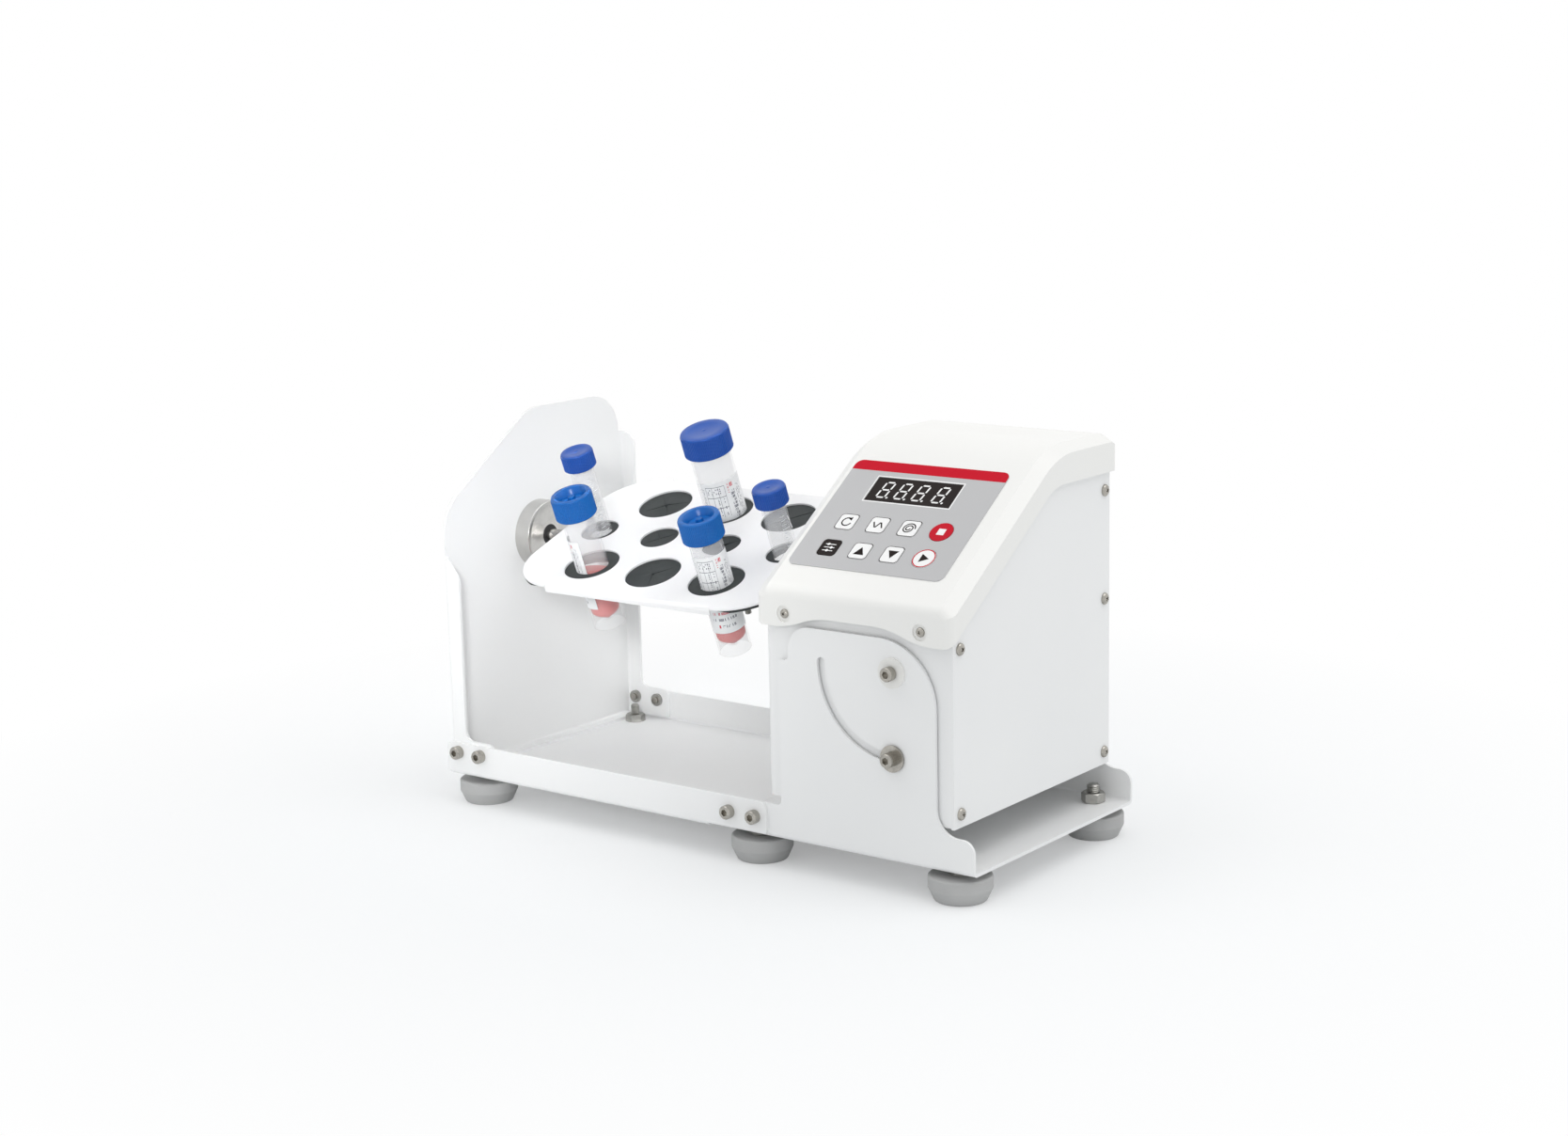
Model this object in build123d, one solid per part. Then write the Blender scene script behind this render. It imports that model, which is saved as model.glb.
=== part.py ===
"""Tube rotator: a tilting drive head and a tail post carry a turning tube plate between them.

Frame: +X towards the head's right side, +Y towards the back, +Z up, in millimetres.
The origin is on the bench, under the middle of the machine.
"""

import os
from math import cos, hypot, radians, sin, tan

from build123d import *

# ---------------------------------------------------------------- driving dimensions
LENGTH = 412.0          # over the tail tray's left end and the base bracket's right end
DEPTH = 180.0           # over the base bracket's two ears
SHEET = 2.0             # folded steel of the base, tail and head
BEND = 3.5              # outer radius of every fold
FLANGE = 21.3           # height of the base's low side flanges

FOOT_HEIGHT = 15.0
FOOT_RADIUS = 19.0
FOOT_NUT = 4.0          # jam nut between foot and sheet

PIVOT_INSET = 54.8      # pivot screw from the base's right end
PIVOT_HEIGHT = 113.0    # pivot screw above the sheet's underside
ARC_RADIUS = 50.5       # pivot screw to clamp screw
AXIS_HEIGHT = 147.0     # rotor axis above the sheet's underside

HEAD_INSET = 17.1       # drive head's open side from the base's right end
HEAD_WIDTH = 131.0
HEAD_GAP = 1.0          # between an ear and the head
HEAD_LIFT = 26.0        # head's underside above the sheet's underside
HEAD_RISE = 231.5       # cover's flat top above the sheet's underside
SLOPE = 34.5            # control panel and tail post, degrees from level
EAR_RISE = 132.4        # ears' top above the sheet's underside
POST_RISE = 233.0       # tail post's top above the sheet's underside

COVER_WALL = 2.5
COVER_EASE = 0.4        # cover's skirt off the ears
COVER_PLAY = 0.3        # cover's skirt off the head's ends

ROTOR_INSET = 273.0     # tube plate's middle from the base's right end
ROTOR_LENGTH = 211.4
ROTOR_WIDTH = 142.4
ROTOR_CORNER = 37.0
ROTOR_OFFSET = 8.4      # plate's top face above the rotor axis
PARK_ANGLE = 20.5       # plate's front edge hangs down when parked
LARGE_HOLE = 18.5
SMALL_HOLE = 13.0
HOLE_PITCH = 51.5
ROW_OFFSET = 40.4

RUN_FIT = 0.05          # radial clearance of a turning fit
GAP = 0.4               # between pieces that move past each other

# ---------------------------------------------------------------- worked-out places
RIGHT = LENGTH / 2
LEFT = -LENGTH / 2
FRONT = -DEPTH / 2
BASE_Z = FOOT_HEIGHT + FOOT_NUT
FLOOR_Z = BASE_Z + SHEET
FLANGE_Z = BASE_Z + FLANGE
PIVOT_X = RIGHT - PIVOT_INSET
PIVOT_Z = BASE_Z + PIVOT_HEIGHT
AXIS_Z = BASE_Z + AXIS_HEIGHT
EAR_TOP = BASE_Z + EAR_RISE
POST_TOP = BASE_Z + POST_RISE
HEAD_RIGHT = RIGHT - HEAD_INSET
HEAD_LEFT = HEAD_RIGHT - HEAD_WIDTH
HEAD_HALF = DEPTH / 2 - SHEET - HEAD_GAP
HEAD_BOTTOM = BASE_Z + HEAD_LIFT
HEAD_TOP = BASE_Z + HEAD_RISE
COVER_HALF = DEPTH / 2 + COVER_EASE + COVER_WALL
COVER_LEFT = HEAD_LEFT - COVER_WALL - COVER_PLAY
COVER_RIGHT = HEAD_RIGHT + SHEET + COVER_WALL + COVER_PLAY
COVER_MID = (COVER_LEFT + COVER_RIGHT) / 2
END_PLATE_X = LEFT + SHEET
ROTOR_X = RIGHT - ROTOR_INSET
TAN_SLOPE = tan(radians(SLOPE))

# Control panel plane: local x runs right, local y up the slope, z out of the cover.
PANEL_Y = -81.8
PANEL_Z = BASE_Z + 161.1
PANEL = Plane(
    origin=(0, PANEL_Y, PANEL_Z),
    x_dir=(1, 0, 0),
    z_dir=(0, -sin(radians(SLOPE)), cos(radians(SLOPE))),
)
ROTOR = Pos(ROTOR_X, 0, AXIS_Z) * Rot(PARK_ANGLE, 0, 0)

FEET_RIGHT = 187.0
FEET_MIDDLE = 43.0
FEET_LEFT = -186.0
FEET_Y = 75.0
TRAY_END = 59.4         # right end of the tray's overlapping tabs
FLOOR_JOINT = 14.0      # where tray floor and bracket floor meet

BASE_ALIGN = (Align.CENTER, Align.CENTER, Align.MIN)


# ---------------------------------------------------------------- small builders
def profile(*corners):
    """Closed face from (across, up, corner radius) triples."""
    points = [(across, up) for across, up, _ in corners]
    radii = [radius for _, _, radius in corners]
    return make_face(FilletPolyline(*points, radius=radii, close=True))


def along_x(face, x0, x1):
    """Prism of a side-view (Y, Z) face between two X places."""
    side = Plane((x0, 0, 0), x_dir=(0, 1, 0), z_dir=(1, 0, 0))
    return extrude(side * face, amount=x1 - x0)


def along_y(face, y0, y1):
    """Prism of a front-view (X, Z) face between two Y places."""
    front = Plane((0, y1, 0), x_dir=(1, 0, 0), z_dir=(0, -1, 0))
    return extrude(front * face, amount=y1 - y0)


def along_z(face, z0, z1):
    """Prism of a plan-view (X, Y) face between two heights."""
    return extrude(Plane((0, 0, z0)) * face, amount=z1 - z0)


def block(x0, x1, y0, y1, z0, z1):
    middle = ((x0 + x1) / 2, (y0 + y1) / 2, (z0 + z1) / 2)
    return Pos(*middle) * Box(x1 - x0, y1 - y0, z1 - z0)


def rod_x(radius, x0, x1, y, z):
    return Pos(x0, y, z) * Cylinder(radius, x1 - x0, rotation=(0, 90, 0), align=BASE_ALIGN)


def rod_y(radius, y0, y1, x, z):
    return Pos(x, y0, z) * Cylinder(radius, y1 - y0, rotation=(-90, 0, 0), align=BASE_ALIGN)


def rod_z(radius, z0, z1, x, y):
    return Pos(x, y, z0) * Cylinder(radius, z1 - z0, align=BASE_ALIGN)


def turned(*corners):
    """Solid of revolution about Z from (radius, height, corner radius) triples."""
    return revolve(Plane.XZ * profile(*corners), Axis.Z)


def both_sides(shape):
    """The shape and its mirror image across the middle plane."""
    return [shape, mirror(shape, about=Plane.XZ)]


def socket_screw(shank, length, head, socket):
    """Socket-head screw along -Z, the underside of its head at the origin."""
    tall = 2 * shank
    body = Cylinder(head, tall, align=BASE_ALIGN) + Pos(0, 0, -length) * Cylinder(
        shank, length, align=BASE_ALIGN
    )
    hexagon = extrude(Plane((0, 0, tall)) * RegularPolygon(socket, 6), amount=-0.55 * tall)
    return body - hexagon


def pan_screw(shank, length, head):
    """Domed-head screw along -Z, the underside of its head at the origin."""
    dome = turned((0, 0, 0), (head, 0, 0), (head, 0.5 * shank, 0.4 * shank), (0, 1.15 * shank, 0))
    return dome + Pos(0, 0, -length) * Cylinder(shank, length, align=BASE_ALIGN)


def hex_nut(bore, across_flats, height):
    nut = extrude(RegularPolygon(across_flats / 2, 6, major_radius=False), amount=height)
    return nut - Cylinder(bore, height, align=BASE_ALIGN)


def ring(outer, inner, width):
    return Cylinder(outer, width, align=BASE_ALIGN) - Cylinder(inner, width, align=BASE_ALIGN)


def facing_front(shape, x, y, z):
    """Put a screw made along -Z so that its head faces the front."""
    return Pos(x, y, z) * Rot(90, 0, 0) * shape


def facing_right(shape, x, y, z):
    return Pos(x, y, z) * Rot(0, 90, 0) * shape


def facing_left(shape, x, y, z):
    return Pos(x, y, z) * Rot(0, -90, 0) * shape


def panel_prism(face, out0, out1):
    """Prism of a control-panel face, from out0 to out1 above the panel plane."""
    return extrude(PANEL.offset(out0) * face, amount=out1 - out0)


# ---------------------------------------------------------------- base bracket
CLAMP_SHANK = 2.5
SLOT_HALF = CLAMP_SHANK + 0.4
BUSH_SLEEVE = 5.0
TRAY_SCREW_X = (31.0, 50.6)
TRAY_SCREW_Z = BASE_Z + 12.0
TAIL_SCREW_X = (-195.6, -176.0)
TAIL_SCREW_Z = BASE_Z + 15.5
TRAY_SHANK = 2.5
SCREW_HEAD, SOCKET = 4.3, 2.3   # head and hexagon radii of every M5 socket screw
BIG_STUD, BIG_FLATS = 4.0, 13.0         # M8 stud and nut of the bracket's feet
SMALL_STUD, SMALL_FLATS = 3.0, 10.0     # M6 stud and nut of the tail's feet
EAR_LEFT, EAR_SHOULDER, EAR_RIGHT = 69.5, 76.7, 180.5
SHOULDER_Z = BASE_Z + 111.0
EAR_CORNER = 38.7       # large rear corner of each ear
EAR_BLEND = 15.0
EDGE_ROUND = 3.0


def channel(x0, x1, half, height):
    """Folded channel: a floor with two walls, their outer faces at +-half."""
    outer = profile((-half, 0, BEND), (half, 0, BEND), (half, height, 0), (-half, height, 0))
    inner_half = half - SHEET
    inner_bend = BEND - SHEET
    inner = profile(
        (-inner_half, SHEET, inner_bend),
        (inner_half, SHEET, inner_bend),
        (inner_half, height + 1, 0),
        (-inner_half, height + 1, 0),
    )
    return Pos(0, 0, BASE_Z) * along_x(outer - inner, x0, x1)


def foot_holes(places, radius):
    holes = []
    for x in places:
        for y in (-FEET_Y, FEET_Y):
            holes.append(rod_z(radius, BASE_Z - 1, FLOOR_Z + 1, x, y))
    return holes


def side_holes(places, z, half):
    return [rod_y(TRAY_SHANK, -half - 1, half + 1, x, z) for x in places]


def arc_slot():
    """Quarter-circle clamp slot about the pivot, from straight below it to its left."""
    slot = Pos(PIVOT_X, PIVOT_Z) * Circle(ARC_RADIUS + SLOT_HALF)
    slot -= Pos(PIVOT_X, PIVOT_Z) * Circle(ARC_RADIUS - SLOT_HALF)
    reach = 2 * ARC_RADIUS
    slot &= Pos(PIVOT_X - reach / 2, PIVOT_Z - reach / 2) * Rectangle(reach, reach)
    slot += Pos(PIVOT_X, PIVOT_Z - ARC_RADIUS) * Circle(SLOT_HALF)
    slot += Pos(PIVOT_X - ARC_RADIUS, PIVOT_Z) * Circle(SLOT_HALF)
    return along_y(slot, FRONT - 1, -FRONT + 1)


def ear_outline():
    """Front view of the bracket: low flanges with one tall ear."""
    return profile(
        (FLOOR_JOINT, BASE_Z, 0),
        (RIGHT, BASE_Z, 0),
        (RIGHT, FLANGE_Z, 8.0),
        (EAR_RIGHT, FLANGE_Z, EAR_BLEND),
        (EAR_RIGHT, EAR_TOP, EAR_CORNER),
        (EAR_SHOULDER, EAR_TOP, EAR_BLEND),
        (EAR_SHOULDER, SHOULDER_Z, EDGE_ROUND),
        (EAR_LEFT, SHOULDER_Z, EDGE_ROUND),
        (EAR_LEFT, FLANGE_Z, EDGE_ROUND),
        (FLOOR_JOINT, FLANGE_Z, 4.0),
    )


def base_bracket():
    """Folded floor with an ear on each side that carries the head's pivot and clamp slot."""
    folded = channel(FLOOR_JOINT, RIGHT, DEPTH / 2, EAR_RISE)
    folded &= along_y(ear_outline(), FRONT - 1, -FRONT + 1)
    folded -= arc_slot()
    folded -= rod_y(BUSH_SLEEVE, FRONT - 1, -FRONT + 1, PIVOT_X, PIVOT_Z)
    folded -= foot_holes((FEET_RIGHT, FEET_MIDDLE), BIG_STUD)
    folded -= side_holes(TRAY_SCREW_X, TRAY_SCREW_Z, DEPTH / 2)
    return folded


# ---------------------------------------------------------------- tail tray and end plate
TRAY_HALF = DEPTH / 2 + SHEET
TRAY_RISE = 22.0
TRAY_CORNER = 5.0
JOINT_GAP = 0.3         # between the tray's and the bracket's floors


def tail_tray():
    """Folded tray: a floor under the tube plate, and tabs that lap the bracket's flanges."""
    outline = profile(
        (LEFT, BASE_Z, TRAY_CORNER),
        (TRAY_END, BASE_Z, TRAY_CORNER),
        (TRAY_END, BASE_Z + TRAY_RISE, TRAY_CORNER),
        (LEFT, BASE_Z + TRAY_RISE, TRAY_CORNER),
    )
    folded = channel(LEFT, TRAY_END, TRAY_HALF, TRAY_RISE)
    folded &= along_y(outline, -TRAY_HALF - 1, TRAY_HALF + 1)
    floor_end = FLOOR_JOINT - JOINT_GAP
    tab_half = DEPTH / 2
    folded -= block(floor_end, TRAY_END + 1, -tab_half, tab_half, BASE_Z - 1, FLANGE_Z + TRAY_RISE)
    folded -= block(floor_end, TRAY_END + 1, -TRAY_HALF - 1, TRAY_HALF + 1, BASE_Z - 1, FLOOR_Z)
    folded -= foot_holes((FEET_LEFT,), SMALL_STUD)
    folded -= side_holes(TRAY_SCREW_X, TRAY_SCREW_Z, TRAY_HALF)
    folded -= side_holes(TAIL_SCREW_X, TAIL_SCREW_Z, TRAY_HALF)
    return folded


HUB_RADIUS = 23.3
HUB_SCREW_RADIUS = 17.0
HUB_SCREW = 1.7
HUB_SCREW_REACH = 6.0   # screw's length inside the hub


def hub_screw_places():
    """Y and Z of the hub's four screws."""
    step = HUB_SCREW_RADIUS / 2**0.5
    return [(y, AXIS_Z + z) for y in (-step, step) for z in (-step, step)]


SLOPE_FOOT_Z = BASE_Z + 174.3   # where the post's sloped front edge starts
REAR_STEP_Z = BASE_Z + 206.0    # where its rear edge steps in
REAR_STEP = 4.7
FRONT_RETURN_Z = BASE_Z + 145.0
RETURN_X = -191.0               # free edges of the two side returns
FOOT_X = -166.0                 # free edges of the returns' feet
FOOT_Z = BASE_Z + 23.5
FOOT_FLANGE = 10.4              # width of the floor flange
FLANGE_INSET = 5.0              # floor flange's ends from the returns' outer faces
FOLD_TOP = FLOOR_Z + BEND + 1


def post_web():
    """Side view of the post: sloped in front, stepped in behind."""
    slope_run = (POST_TOP - SLOPE_FOOT_Z) / TAN_SLOPE
    return profile(
        (FRONT, FLOOR_Z, 0),
        (-FRONT, FLOOR_Z, 0),
        (-FRONT, REAR_STEP_Z, 0),
        (-FRONT - REAR_STEP, REAR_STEP_Z, 0),
        (-FRONT - REAR_STEP, POST_TOP, 26.0),
        (FRONT + slope_run, POST_TOP, 30.0),
        (FRONT, SLOPE_FOOT_Z, 35.0),
    )


def post_return(rise, slant):
    """Front view of a side return with its foot; its top falls by slant towards the free edge."""
    return profile(
        (END_PLATE_X, FLOOR_Z, 0),
        (FOOT_X, FLOOR_Z, 4.0),
        (FOOT_X, FOOT_Z, 5.0),
        (RETURN_X, FOOT_Z, 7.0),
        (RETURN_X, rise - slant, 9.0),
        (END_PLATE_X + SHEET, rise, 0),
        (END_PLATE_X + SHEET, POST_TOP, 0),
        (END_PLATE_X, POST_TOP, 0),
    )


def post_channel(back, half, bend, free_edge):
    """Plan view of the web and both returns, one face of the sheet."""
    return profile((back, -half, bend), (free_edge, -half, 0), (free_edge, half, 0), (back, half, bend))


def post_fold(half):
    """Floor flange folded forward from the web."""
    fold = profile(
        (END_PLATE_X, FLOOR_Z, BEND),
        (END_PLATE_X + FOOT_FLANGE, FLOOR_Z, 0),
        (END_PLATE_X + FOOT_FLANGE, FLOOR_Z + SHEET, 0),
        (END_PLATE_X + SHEET, FLOOR_Z + SHEET, BEND - SHEET),
        (END_PLATE_X + SHEET, FOLD_TOP, 0),
        (END_PLATE_X, FOLD_TOP, 0),
    )
    return along_y(fold, -half, half)


def end_plate():
    """Folded tail post: a sloped web, two side returns with feet, and a floor flange."""
    half = DEPTH / 2
    outer = post_channel(END_PLATE_X, half, BEND, FOOT_X + 1)
    inner = post_channel(END_PLATE_X + SHEET, half - SHEET, BEND - SHEET, FOOT_X + 2)
    folded = along_z(outer - inner, FLOOR_Z, POST_TOP)
    folded &= along_x(post_web(), END_PLATE_X - 1, FOOT_X + 2)
    front_half = along_y(post_return(FRONT_RETURN_Z, 13.0), FRONT - 1, 0)
    rear_half = along_y(post_return(REAR_STEP_Z, 2.0), 0, -FRONT + 1)
    folded &= front_half + rear_half
    flange_half = half - FLANGE_INSET
    above_bend = FLOOR_Z + BEND - SHEET + 0.2
    for side in (-1, 1):
        y0, y1 = sorted((side * flange_half, side * (half + 1)))
        folded -= block(END_PLATE_X - 1, FOOT_X + 1, y0, y1, FLOOR_Z - 1, above_bend)
    folded -= block(END_PLATE_X - 1, FOOT_X, -flange_half, flange_half, FLOOR_Z - 1, FOLD_TOP)
    folded += post_fold(flange_half)
    folded -= side_holes(TAIL_SCREW_X, TAIL_SCREW_Z, half)
    for y, z in hub_screw_places():
        folded -= rod_x(HUB_SCREW, END_PLATE_X - 1, END_PLATE_X + SHEET + 1, y, z)
    return folded


# ---------------------------------------------------------------- tail hub and spindle
HUB_BACK = END_PLATE_X + SHEET
HUB_THICK = 12.0
BEARING_BORE = 4.0 + RUN_FIT
BEARING_RADIUS = 11.0
BEARING_WIDTH = 7.0
BEARING_SET = 1.8       # bearing's back face from the hub's back face
HUB_DISH = 1.6          # depth of the dished face
SEAL_RADIUS = 7.0
SEAL_X = HUB_BACK + 8.9
SPINDLE_RADIUS = 4.0
SPINDLE_TIP = 3.0
SPINDLE_HEAD = 5.6
PLATE_LEFT = ROTOR_X - ROTOR_LENGTH / 2
BLOCK_LENGTH = 13.0
BLOCK_INSET = 1.2       # end blocks from the tube plate's ends


def along_axis(shape, x):
    """Turn a solid of revolution made about Z onto the rotor axis, its base at x."""
    return Pos(x, 0, AXIS_Z) * Rot(0, 90, 0) * shape


def bearing_hub():
    """Turned hub with a dished face and a stepped bore."""
    hub = turned(
        (SEAL_RADIUS, 0, 0),
        (HUB_RADIUS, 0, 0),
        (HUB_RADIUS, HUB_THICK, 0.8),
        (HUB_RADIUS - 2.5, HUB_THICK, 0.3),
        (SEAL_RADIUS + 2.5, HUB_THICK - HUB_DISH, 0.3),
        (SEAL_RADIUS, HUB_THICK - HUB_DISH, 0),
    )
    hub -= Cylinder(BEARING_RADIUS, BEARING_SET + BEARING_WIDTH, align=BASE_ALIGN)
    for y, z in hub_screw_places():
        hub -= Pos(AXIS_Z - z, y, 0) * Cylinder(HUB_SCREW, HUB_SCREW_REACH + 2.0, align=BASE_ALIGN)
    return along_axis(hub, HUB_BACK)


def hub_bearing():
    return along_axis(ring(BEARING_RADIUS, BEARING_BORE, BEARING_WIDTH), HUB_BACK + BEARING_SET)


def shaft_seal():
    return along_axis(ring(SEAL_RADIUS, SPINDLE_RADIUS + 0.1, 1.4), SEAL_X)


def hub_screws():
    screw = pan_screw(HUB_SCREW, SHEET + HUB_SCREW_REACH, 3.8)
    return [facing_left(screw, END_PLATE_X, y, z) for y, z in hub_screw_places()]


def tail_spindle():
    """Idler spindle: retaining head, bearing journal, and a reduced tip under the cradle."""
    head_x = HUB_BACK + GAP
    tip_x = PLATE_LEFT - 0.8
    end_x = PLATE_LEFT + BLOCK_INSET + BLOCK_LENGTH - 1.0
    spindle = rod_x(SPINDLE_HEAD, head_x, head_x + 1.0, 0, AXIS_Z)
    spindle += rod_x(SPINDLE_RADIUS, head_x, tip_x, 0, AXIS_Z)
    spindle += rod_x(SPINDLE_TIP, tip_x, end_x, 0, AXIS_Z)
    return spindle


# ---------------------------------------------------------------- feet
def foot_places():
    """X, Y, stud radius and nut size of the six feet."""
    places = []
    for y in (-FEET_Y, FEET_Y):
        places.append((FEET_RIGHT, y, BIG_STUD, BIG_FLATS))
        places.append((FEET_MIDDLE, y, BIG_STUD, BIG_FLATS))
        places.append((FEET_LEFT, y, SMALL_STUD, SMALL_FLATS))
    return places


FOOT_HOLLOW = 8.0       # radius of the hollow under each foot
FOOT_SEAT = 6.0         # height of the hollow's roof
FOOT_TAPER = 3.5
STUD_ABOVE = 11.5       # stud's end above the sheet
NUT_FLANGE = 7.1


def rubber_feet():
    """Rubber feet: a straight band over a taper, hollow below."""
    feet = []
    for x, y, stud, _ in foot_places():
        foot = turned(
            (FOOT_HOLLOW, 0, 0.5),
            (FOOT_RADIUS - FOOT_TAPER, 0, 1.0),
            (FOOT_RADIUS, FOOT_HEIGHT / 2, 0.6),
            (FOOT_RADIUS, FOOT_HEIGHT, 1.2),
            (stud, FOOT_HEIGHT, 0),
            (stud, FOOT_SEAT, 0),
            (FOOT_HOLLOW, FOOT_SEAT, 0),
        )
        feet.append(Pos(x, y, 0) * foot)
    return feet


def foot_bolts():
    """Studs with a hidden head in each foot."""
    bolts = []
    for x, y, stud, _ in foot_places():
        head = rod_z(FOOT_HOLLOW - 1.0, FOOT_SEAT - 3.5, FOOT_SEAT, x, y)
        bolts.append(head + rod_z(stud, FOOT_SEAT, FLOOR_Z + STUD_ABOVE, x, y))
    return bolts


def foot_nuts():
    """A jam nut under the sheet and a nut above it at each foot; the tail's upper nuts are flanged."""
    nuts = []
    for x, y, stud, flats in foot_places():
        nuts.append(Pos(x, y, FOOT_HEIGHT) * hex_nut(stud, flats, FOOT_NUT))
        upper = hex_nut(stud, flats, 1.6 * stud)
        if stud == SMALL_STUD:
            upper += ring(NUT_FLANGE, stud, 1.4)
        nuts.append(Pos(x, y, FLOOR_Z) * upper)
    return nuts


# ---------------------------------------------------------------- side screws of the tray
def tray_screws():
    screw = socket_screw(TRAY_SHANK, 2 * SHEET + 3.5, SCREW_HEAD, SOCKET)
    screws = []
    for places, z in ((TRAY_SCREW_X, TRAY_SCREW_Z), (TAIL_SCREW_X, TAIL_SCREW_Z)):
        for x in places:
            screws += both_sides(facing_front(screw, x, -TRAY_HALF, z))
    return screws


CLINCH_RADIUS = 4.4
CLINCH_TALL = 2.0


def clinch_nuts():
    """Clinched thread bosses on the inner faces of the overlaps."""
    nuts = []
    inner = FRONT + SHEET
    for places, z in ((TRAY_SCREW_X, TRAY_SCREW_Z), (TAIL_SCREW_X, TAIL_SCREW_Z)):
        for x in places:
            boss = rod_y(CLINCH_RADIUS, inner, inner + CLINCH_TALL, x, z)
            boss -= rod_y(TRAY_SHANK, inner, inner + CLINCH_TALL, x, z)
            nuts += both_sides(boss)
    return nuts


# ---------------------------------------------------------------- pivot and clamp
BUSH_FLANGE = 9.0
BUSH_THICK = 1.5
WASHER_THICK = 1.4
WASHER_RADIUS = 8.0
LOCK_THICK, LOCK_RADIUS = 1.2, 4.5
THREAD_END = 3.0        # screw's end beyond the head's wall


def pivot_bushes():
    """Nylon flanged bushes in the ears."""
    bush = rod_y(BUSH_FLANGE, FRONT - BUSH_THICK, FRONT, PIVOT_X, PIVOT_Z)
    bush += rod_y(BUSH_SLEEVE, FRONT - BUSH_THICK, FRONT + SHEET + 0.6, PIVOT_X, PIVOT_Z)
    bore = rod_y(CLAMP_SHANK + RUN_FIT, FRONT - 3, FRONT + SHEET + 2, PIVOT_X, PIVOT_Z)
    return both_sides(bush - bore)


def head_screw(y_head, x, z):
    """M5 socket screw from outside an ear into the head's wall."""
    length = -HEAD_HALF + SHEET + THREAD_END - y_head
    return facing_front(socket_screw(CLAMP_SHANK, length, SCREW_HEAD, SOCKET), x, y_head, z)


def pivot_screws():
    return both_sides(head_screw(FRONT - BUSH_THICK - GAP, PIVOT_X, PIVOT_Z))


def clamp_screws():
    y_head = FRONT - GAP - WASHER_THICK - LOCK_THICK
    return both_sides(head_screw(y_head, PIVOT_X, PIVOT_Z - ARC_RADIUS))


def clamp_washers():
    """A flat washer over the slot and a lock washer under the screw's head, as one piece."""
    z = PIVOT_Z - ARC_RADIUS
    y1 = FRONT - GAP
    y0 = y1 - WASHER_THICK - LOCK_THICK
    washer = rod_y(WASHER_RADIUS, y1 - WASHER_THICK, y1, PIVOT_X, z)
    washer += rod_y(LOCK_RADIUS, y0, y1, PIVOT_X, z)
    return both_sides(washer - rod_y(CLAMP_SHANK, y0, y1, PIVOT_X, z))


# ---------------------------------------------------------------- drive head shell
LIP = 12.0              # inward lips that the side panel screws to
PANEL_SCREWS = (
    (-80.0, BASE_Z + 33.3),
    (-80.0, BASE_Z + 129.7),
    (81.0, BASE_Z + 33.3),
    (81.0, BASE_Z + 130.0),
    (81.0, BASE_Z + 197.2),
)
PANEL_SCREW = 2.0
OUTPUT_BORE = 12.0      # hole in the head's left wall for the output bearing
COVER_SCREW = 1.5
COVER_SCREW_X = (COVER_MID - 48.0, COVER_MID + 48.0)
COVER_SCREW_Z = BASE_Z + 139.5
REAR_SCREW_Z = HEAD_TOP - 14.0
INLET_X, INLET_Z = 92.0, BASE_Z + 168.0
SWITCH_X, SWITCH_Z = 150.0, BASE_Z + 168.0
INLET_CUT = (27.6, 20.0)
SWITCH_CUT = (19.4, 13.0)
MOTOR_HALF = 28.5
MOTOR_BOLT = 23.6       # motor screws from the axis, across and up
MOTOR_SCREW = 2.5
HEAD_CORNER = 4.5       # folded upright edges of the head


def motor_bolts():
    """Y and Z of the four motor screws."""
    return [(y, AXIS_Z + z) for y in (-MOTOR_BOLT, MOTOR_BOLT) for z in (-MOTOR_BOLT, MOTOR_BOLT)]


def head_side(inset, bottom, drop=0.0):
    """Side view of the drive head, set in from the cover's outside by inset, its upper faces by drop more."""
    front = -COVER_HALF + inset
    slope_drop = (inset + drop) / cos(radians(SLOPE))
    top = HEAD_TOP - inset - drop
    foot_z = PANEL_Z + (front - PANEL_Y) * TAN_SLOPE - slope_drop
    crest_y = PANEL_Y + (top - PANEL_Z + slope_drop) / TAN_SLOPE
    return profile(
        (front, bottom, 0),
        (-front, bottom, 0),
        (-front, top, max(10.0 - inset, 1.0)),
        (crest_y, top, 60.0 - inset),
        (front, foot_z, max(8.0 - inset, 1.0)),
    )


def head_plan(left, right, half, corner):
    """Plan view of one face of the head's sheet, folded at its left corners."""
    return profile((left, -half, corner), (right, -half, 0), (right, half, 0), (left, half, corner))


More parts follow.
